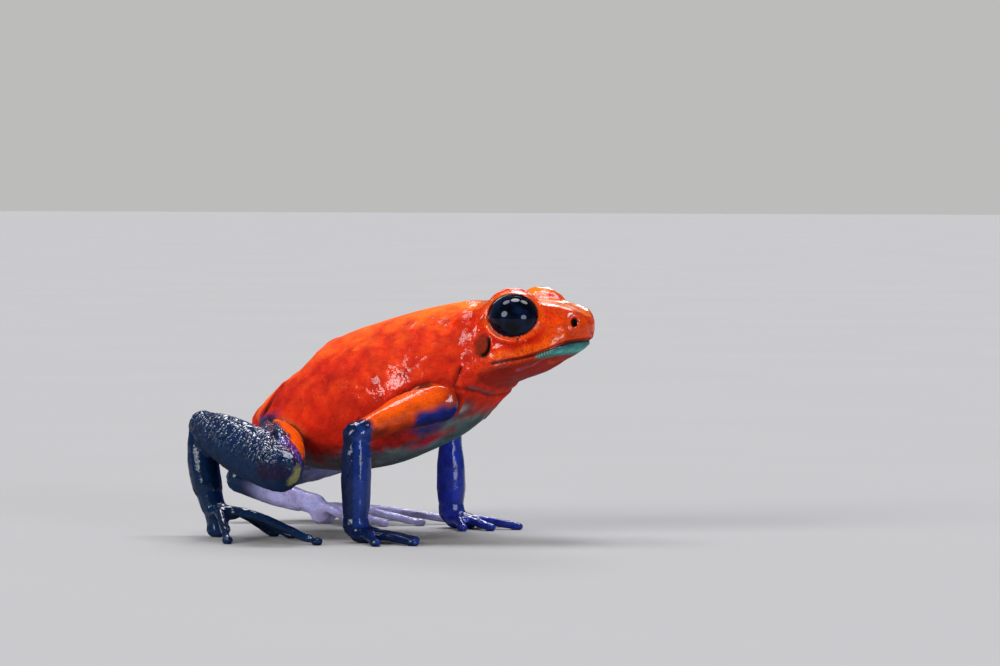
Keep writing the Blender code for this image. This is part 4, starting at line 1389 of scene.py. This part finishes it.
def pale_floor():
    bm = bmesh.new()
    bmesh.ops.create_grid(bm, x_segments=8, y_segments=8, size=FLOOR_SIZE / 2)
    made = bpy.data.meshes.new("floor")
    bm.to_mesh(made)
    bm.free()
    obj = bpy.data.objects.new("floor", made)
    bpy.context.scene.collection.objects.link(obj)
    # Matt paper, pressed from fibres: it scatters light evenly and hardly shines.
    material, tree = new_material("matt_paper")
    place = add_node(tree, "TexCoord", output="Object")
    inputs = {"Vector": place, "Scale": 1 / (FLOOR_CLOUD_MM * MM), "Detail": 2.0}
    inputs = {0: add_node(tree, "TexNoise", inputs), 6: colour(0xA09F9C), 7: colour(0x9C9B98)}
    tint = add_node(tree, "Mix", inputs, 2, data_type="RGBA")
    inputs = {"Base Color": tint, "Roughness": 0.9, "Specular IOR Level": 0.1}
    add_node(tree, "OutputMaterial", {"Surface": add_node(tree, "BsdfPrincipled", inputs)})
    made.materials.append(material)
    return obj


pale_floor()
print("floor", FLOOR_SIZE, "m wide")

# %% [markdown]
# ## Lights
#
# Six very distant lights make a soft studio. Wet skin is a curved mirror, so each light is
# placed for the highlight that it draws: one beside the camera shows the side, one overhead
# gives the white edge on the brows and the arms, one to each side of it carries that edge on
# along the brows, a low one behind brings out the back, and one before the nose draws the long
# highlights on the forearms. A sun with a wide angle is such a light, and works at any size.

# %% Lights
LAMP_DISTANCE = 0.3  # only to see them apart in the viewport, a sun shines from anywhere
STUDIO = (  # name, azimuth, elevation and spread in degrees, strength, colour
    ("camera_side", -28, 24, 28, 2.5, 0xFFFFFF),
    ("overhead", 204, 77, 22, 2.0, 0xF4F5FF),
    ("sky_left", 269, 63, 20, 0.9, 0xF4F5FF),
    ("sky_right", 139, 63, 20, 1.1, 0xF4F5FF),
    ("rim_sky", 200, 36, 22, 0.9, 0xF4F5FF),
    ("nose_side", 62, 8, 22, 1.6, 0xE6ECFF),
)


def direction(azimuth, elevation):
    """A direction, with the azimuth from the frog's right side towards its nose."""
    a, e = math.radians(azimuth), math.radians(elevation)
    return Vector((math.sin(a) * math.cos(e), -math.cos(a) * math.cos(e), math.sin(e)))


def soft_light(name, azimuth, elevation, spread, strength, tint):
    light = bpy.data.lights.new(name, "SUN")
    light.angle = math.radians(spread)
    light.energy = strength
    light.color = colour(tint)[:3]
    towards = direction(azimuth, elevation)
    obj = bpy.data.objects.new(name, light)
    obj.location = towards * LAMP_DISTANCE
    obj.rotation_euler = towards.to_track_quat("Z", "Y").to_euler()
    bpy.context.scene.collection.objects.link(obj)


for lamp in STUDIO:
    soft_light(*lamp)
print(len(STUDIO), "lights")

# %% [markdown]
# The camera sees a plain grey backdrop, but the frog is lit by a much darker one, so that
# its undersides stay dark. A light path node tells the two apart. The Standard view keeps the
# reds as strong as they were painted.

# %% Backdrop
BACKDROP, FILL, FILL_STRENGTH = 0xBCBCBB, 0xDDE3EA, 0.12

world = bpy.data.worlds.new("studio")
world.use_nodes = True
sky = world.node_tree
backdrop = add_node(sky, "Background", {"Color": colour(BACKDROP)})
fill = add_node(sky, "Background", {"Color": colour(FILL), "Strength": FILL_STRENGTH})
seen = add_node(sky, "LightPath", output="Is Camera Ray")
shown = add_node(sky, "MixShader", {0: seen, 1: fill, 2: backdrop})
sky.links.new(shown, sky.nodes["World Output"].inputs["Surface"])
bpy.context.scene.world = world
bpy.context.scene.view_settings.view_transform = "Standard"
print("fill light at", FILL_STRENGTH, "of the backdrop")

# %% [markdown]
# ## Camera
#
# The camera looks at the frog's right side from a little ahead, almost level with the floor.
# A long lens from far away keeps the near legs from growing, as in a close-up of an animal.

# %% Camera
AZIMUTH, ELEVATION = 24, 2
DISTANCE_MM, LENS_MM, FILM_MM = 258.0, 163.0, 36.0
AIM_ASIDE, AIM_UP = 4.63, 11.54  # the middle of the picture, beside and above the origin
NEAREST, FARTHEST = 0.01, 20  # metres

back = direction(AZIMUTH, ELEVATION)
aside = Vector((math.cos(math.radians(AZIMUTH)), math.sin(math.radians(AZIMUTH)), 0))
aim = aside * AIM_ASIDE + Vector((0, 0, AIM_UP))
camera = bpy.data.cameras.new("camera")
camera.lens = LENS_MM
camera.sensor_width = FILM_MM
camera.clip_start, camera.clip_end = NEAREST, FARTHEST
camera_object = bpy.data.objects.new("camera", camera)
camera_object.location = TO_CAD @ (aim + back * DISTANCE_MM)
camera_object.rotation_euler = back.to_track_quat("Z", "Y").to_euler()
bpy.context.scene.collection.objects.link(camera_object)
bpy.context.scene.camera = camera_object
print("camera at", [round(value, 3) for value in camera_object.location], "m")
